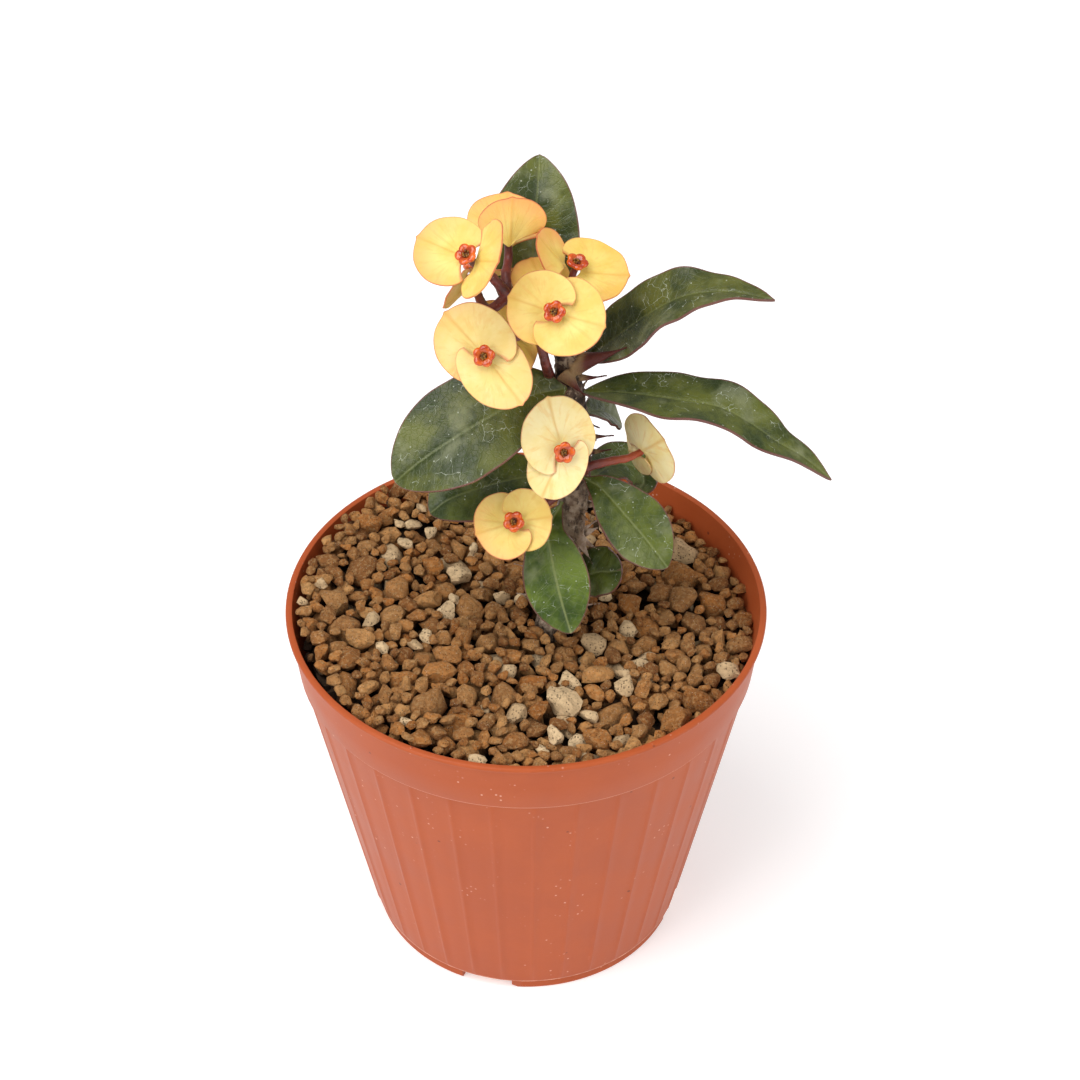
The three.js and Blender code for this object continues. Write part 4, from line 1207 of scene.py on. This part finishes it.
def leaf(name, upper, lower):
    shape = LEAVES[name]
    n, m = 96, 36
    first, second = (np.array(q, float) for q in shape["rib"][:2])
    rib, along, length = smooth_route([first - unit(second - first) * LEAF_FOOT] + shape["rib"], n + 1)
    s = np.linspace(0, 1, n + 1)[:, None]
    t = np.linspace(-1, 1, m + 1)[None, :]
    power = math.log(0.5) / math.log(shape["widest"])
    half = shape["width"] / 2 * np.sin(math.pi * s ** power).clip(0) ** shape["blunt"]
    stalk = 0.75 * np.clip(1 - s * 12, 0, 1) ** 0.5
    half = np.maximum(half, stalk) + 0 * t
    face = np.array(shape["face"][0]) * (1 - s) + np.array(shape["face"][1]) * s
    side = unit(np.cross(along, face))
    up = np.cross(side, along)
    fold = math.radians(shape["fold"])
    x = t * half
    seed = sum(map(ord, name)) % 17
    vein_step = length / (shape["veins"] + 1)
    waves = np.sin(2 * math.pi * (s * 2.6 + seed * 0.37) + (t > 0) * 1.9) * np.abs(t) ** 2.2
    waves += 0.5 * np.sin(2 * math.pi * (s * 5.3 + seed * 0.21) + (t < 0) * 2.4) * np.abs(t) ** 3
    waves *= shape["wave"] * np.sin(math.pi * s)
    slant = np.abs(x) ** 1.12 * 0.52
    phase = (s * length - slant) / vein_step + np.where(x > 0, 0.5, 0)
    quilt = ((0.035 + 0.06 * shape["fresh"]) * np.cos(2 * math.pi * phase)
             * np.clip(np.abs(x) / 1.5, 0, 1) * np.clip((1 - np.abs(t)) * 4, 0, 1))
    groove = -0.32 * np.exp(-(x / 0.55) ** 2) * np.clip(half / 2.5, 0, 1)
    rounded = np.sqrt(x ** 2 + 0.6) - 0.77
    height = rounded * math.sin(fold) + waves + quilt * 0.8 + groove
    forward = np.zeros_like(x)
    if "notch" in shape:
        forward = -shape["notch"] * np.exp(-(t / 0.35) ** 2) * np.clip((s - 0.7) / 0.3, 0, 1) ** 1.5
    rows = (rib[:, None, :] + side[:, None, :] * (x * math.cos(fold))[..., None]
            + up[:, None, :] * height[..., None] + along[:, None, :] * forward[..., None])
    piece, (i, j) = sheet(name + "_blade", rows, 0.5 + x / 100, s * length / 100 + 0 * t)
    mark(piece, "edge", ((1 - np.abs(t)) * half)[i, j])
    mark(piece, "fresh", np.full(len(i), shape["fresh"]))
    mark(piece, "vein_step", np.full(len(i), vein_step))
    merge_points(piece, 0.00002)
    thicken(piece, LEAF_THICKNESS)
    clothe(piece, upper, lower)
    round_shading(piece, 60)
    return settle(piece, "leaf_green", name)


# ------------------------------------------------------------------ flowers

def bract(name, flower, shape, face, back):
    shape = {**BRACT, "lift": 0, "breadth": 1, **shape}
    turn, at = flower_frame(flower)
    seed = sum(map(ord, name)) * 1.7
    n, m = 26, 56
    f = np.linspace(0, 1, n + 1)[:, None]
    t = np.linspace(-0.93, 0.93, m + 1)[None, :]
    a = np.radians(shape["spread"]) * t * (0.6 + 0.4 * np.sqrt(f))
    lobe = np.where(t * flower["over"] > 0, shape["round"] * 0.72, shape["round"])
    r = f * shape["reach"] * np.cos(t * math.pi / 2) ** lobe
    wavy = 1 + 0.012 * np.sin(a * 4 + seed) + 0.004 * np.sin(a * 11 + seed * 2)
    point = 1 + 0.035 * np.exp(-(a / 0.05) ** 2)
    r = r * (1 + (wavy * point - 1) * f ** 4)
    x, y = r * np.cos(a), r * np.sin(a) * shape["breadth"]
    side = np.clip(a / math.radians(shape["overlap_turn"]), -1, 1)
    parting = shape["overlap"] * flower["over"] * side * np.minimum(1, r / 1.6)
    level = shape["dish"] * (r / shape["reach"]) ** 2 + parting
    level = level + 0.22 * np.sin(a * 3 + seed) * f ** 3 + 0.08 * np.sin(a * 9 + seed * 3) * f ** 4
    crease = np.exp(-(y / 0.3) ** 2) * (x > 0)
    level = level - 0.24 * crease * np.clip(f * 3, 0, 1) * (1 - f * 0.6)
    bend = np.where(x > 0, math.radians(shape["lift"]), 0) * np.clip(np.abs(x) / 1.2, 0, 1)
    px = shape["inset"] + x * np.cos(bend) - level * np.sin(bend)
    pz = x * np.sin(bend) + level * np.cos(bend)
    w = math.radians(shape["turn"])
    local = np.stack([px * math.cos(w) - y * math.sin(w), px * math.sin(w) + y * math.cos(w), pz], -1)
    rows = local @ turn.T + at
    piece, (i, j) = sheet(name + "_petal", rows, (t + 1) / 2 + 0 * f, f + 0 * t)
    flush = (shape["blush"] * np.clip((f - 0.42) / 0.58, 0, 1) ** 1.3
             * (0.62 + 0.38 * np.cos(a * 1.3 + np.sin(seed))))
    edge = np.minimum((1 - f) * shape["reach"] + 0 * t, (0.93 - np.abs(t)) * 6 + 0 * f)
    mark(piece, "edge", edge[i, j])
    mark(piece, "blush", np.clip(flush, 0, 1)[i, j])
    mark(piece, "mid", (crease * np.clip(f * 4, 0, 1))[i, j])
    mark(piece, "pale", np.full(len(i), flower["pale"]))
    merge_points(piece, 0.00002)
    thicken(piece, BRACT_THICKNESS)
    clothe(piece, face, back)
    round_shading(piece, 70)
    return settle(piece, "bract_yellow", name)


def ball(at, size, divisions):
    """A small rounded body, its size along each axis."""
    let_go()
    bpy.ops.mesh.primitive_ico_sphere_add(subdivisions=divisions, radius=1)
    piece = bpy.context.object
    set_points(piece, (points_of(piece) * size + at) * MM)
    return piece


def cyathium(name, flower, cup_material, gland_material):
    """The true flower: a small cup with five glossy glands round its mouth and stamens inside."""
    turn, at = flower_frame(flower)
    rng = np.random.default_rng(sum(map(ord, name)))
    cup = tube("cup", [(0, 0, CUP_FROM), (0, 0, CUP_FROM + 0.9), (0, 0, CUP_FROM + 1.5)],
               lambda t: 0.85 + 0.95 * t ** 0.7, 30, 10)
    parts = [cup]
    for k in range(7):
        a = 2 * math.pi * k / 7 + rng.uniform(-0.2, 0.2)
        r = 0.15 if k == 0 else rng.uniform(0.5, 0.8)
        parts.append(ball((r * math.cos(a), r * math.sin(a), CUP_FROM + 1.75 + rng.uniform(-0.1, 0.3)),
                          (0.27, 0.27, 0.42), 2))
    body = join(parts, name + "_body")
    set_points(body, (points_of(body) / MM @ turn.T + at) * MM)
    clothe(body, cup_material)
    round_shading(body)
    settle(body, "gland_orange", name)

    glands = []
    first = rng.uniform(0, 1.2)
    for k in range(5):
        a = first + 2 * math.pi * k / 5 + rng.uniform(-0.06, 0.06)
        gland = ball((0, 0, 0), (1.02, 1.32, 0.66), 3)
        co = points_of(gland) / MM
        co[:, 0] -= 0.12 * co[:, 1] ** 2
        co[:, 2] += 0.12 * co[:, 0] + 0.2 * np.exp(-(co[:, 1] / 0.5) ** 2) * (co[:, 0] < 0) * -1
        co = co @ np.array([[math.cos(a), -math.sin(a), 0], [math.sin(a), math.cos(a), 0], [0, 0, 1]]).T
        co += np.array([1.6 * math.cos(a), 1.6 * math.sin(a), CUP_FROM + 1.7])
        set_points(gland, co * MM)
        glands.append(gland)
    ring = join(glands, name + "_glands")
    co = points_of(ring) / MM
    mark(ring, "inward", np.clip(1.35 - np.hypot(co[:, 0], co[:, 1]) * 0.75, 0, 1))
    set_points(ring, (co @ turn.T + at) * MM)
    clothe(ring, gland_material)
    round_shading(ring)
    settle(ring, "gland_orange")


# ------------------------------------------------------------------ studio

LAMPS = (("soft box above", (-0.3, -0.27, 1.1), (0, 0, 0.1), 0.75, 8.2),
         ("soft box left", (-0.9, -0.75, 0.8), (0, 0, 0.12), 0.7, 6.2),
         ("soft box right", (0.95, -0.55, 0.75), (0, 0, 0.12), 0.8, 4.6))
CAMERA = dict(lens=86.667, tilt=40.0, roll=0.21, distance=0.637, aim=(0.0034, 0, 0.1195))


def studio():
    let_go()
    bpy.ops.mesh.primitive_plane_add(size=6)
    floor = bpy.context.object
    floor.name = "studio_floor"
    material, tree, shader, where = new_finish("white paper floor", 0.9)
    cloud = mottle(tree, where, 6.0, 0.2, 0.8)
    dress(tree, shader, tint(tree, cloud, (0.74, 0.74, 0.74), (0.77, 0.765, 0.765)))
    shader.inputs["Emission Color"].default_value = (0.99, 0.985, 0.99, 1)
    shader.inputs["Emission Strength"].default_value = 0.42
    floor.data.materials.append(material)

    world = bpy.data.worlds.new("studio air")
    bpy.context.scene.world = world
    world.use_nodes = True
    world.node_tree.nodes["Background"].inputs["Color"].default_value = (1, 0.99, 0.985, 1)
    world.node_tree.nodes["Background"].inputs["Strength"].default_value = 0.46

    for name, place, aim, size, power in LAMPS:
        lamp = bpy.data.lights.new(name, "AREA")
        lamp.size = size
        lamp.energy = power
        light = bpy.data.objects.new(name, lamp)
        bpy.context.scene.collection.objects.link(light)
        light.location = place
        light.rotation_euler = (Vector(aim) - Vector(place)).to_track_quat("-Z", "Y").to_euler()

    camera_data = bpy.data.cameras.new("studio camera")
    camera_data.sensor_width = 36
    camera_data.lens = CAMERA["lens"]
    camera_data.clip_start = 0.01
    camera = bpy.data.objects.new("studio camera", camera_data)
    bpy.context.scene.collection.objects.link(camera)
    tilt, roll = math.radians(CAMERA["tilt"]), math.radians(CAMERA["roll"])
    look = Vector((0, math.cos(tilt), -math.sin(tilt)))
    right, up = Vector((1, 0, 0)), Vector((0, math.sin(tilt), math.cos(tilt)))
    right, up = (right * math.cos(roll) + up * math.sin(roll), up * math.cos(roll) - right * math.sin(roll))
    place = Vector(CAMERA["aim"]) - look * CAMERA["distance"]
    camera.matrix_world = Matrix((right, up, -look)).transposed().to_4x4()
    camera.location = place
    bpy.context.scene.camera = camera
    bpy.context.scene.view_settings.view_transform = "Standard"


# ------------------------------------------------------------------ the whole plant

studio()
pot()
grit()
stem()
maroon = stalk_finish()
for stalk_name in STALKS:
    stalks(stalk_name, maroon)
upper_side, lower_side = leaf_finish(False), leaf_finish(True)
for leaf_name in LEAVES:
    leaf(leaf_name, upper_side, lower_side)
petal_face, petal_back = petal_finish(False), petal_finish(True)
cup_skin, gland_skin = cup_finish(), gland_finish()
for flower_name, flower_shape in FLOWERS.items():
    for letter, bract_shape in zip("ab", flower_shape["bracts"]):
        bract(f"{flower_name}_bract_{letter}", flower_shape, bract_shape, petal_face, petal_back)
    cyathium(f"{flower_name}_cup", flower_shape, cup_skin, gland_skin)
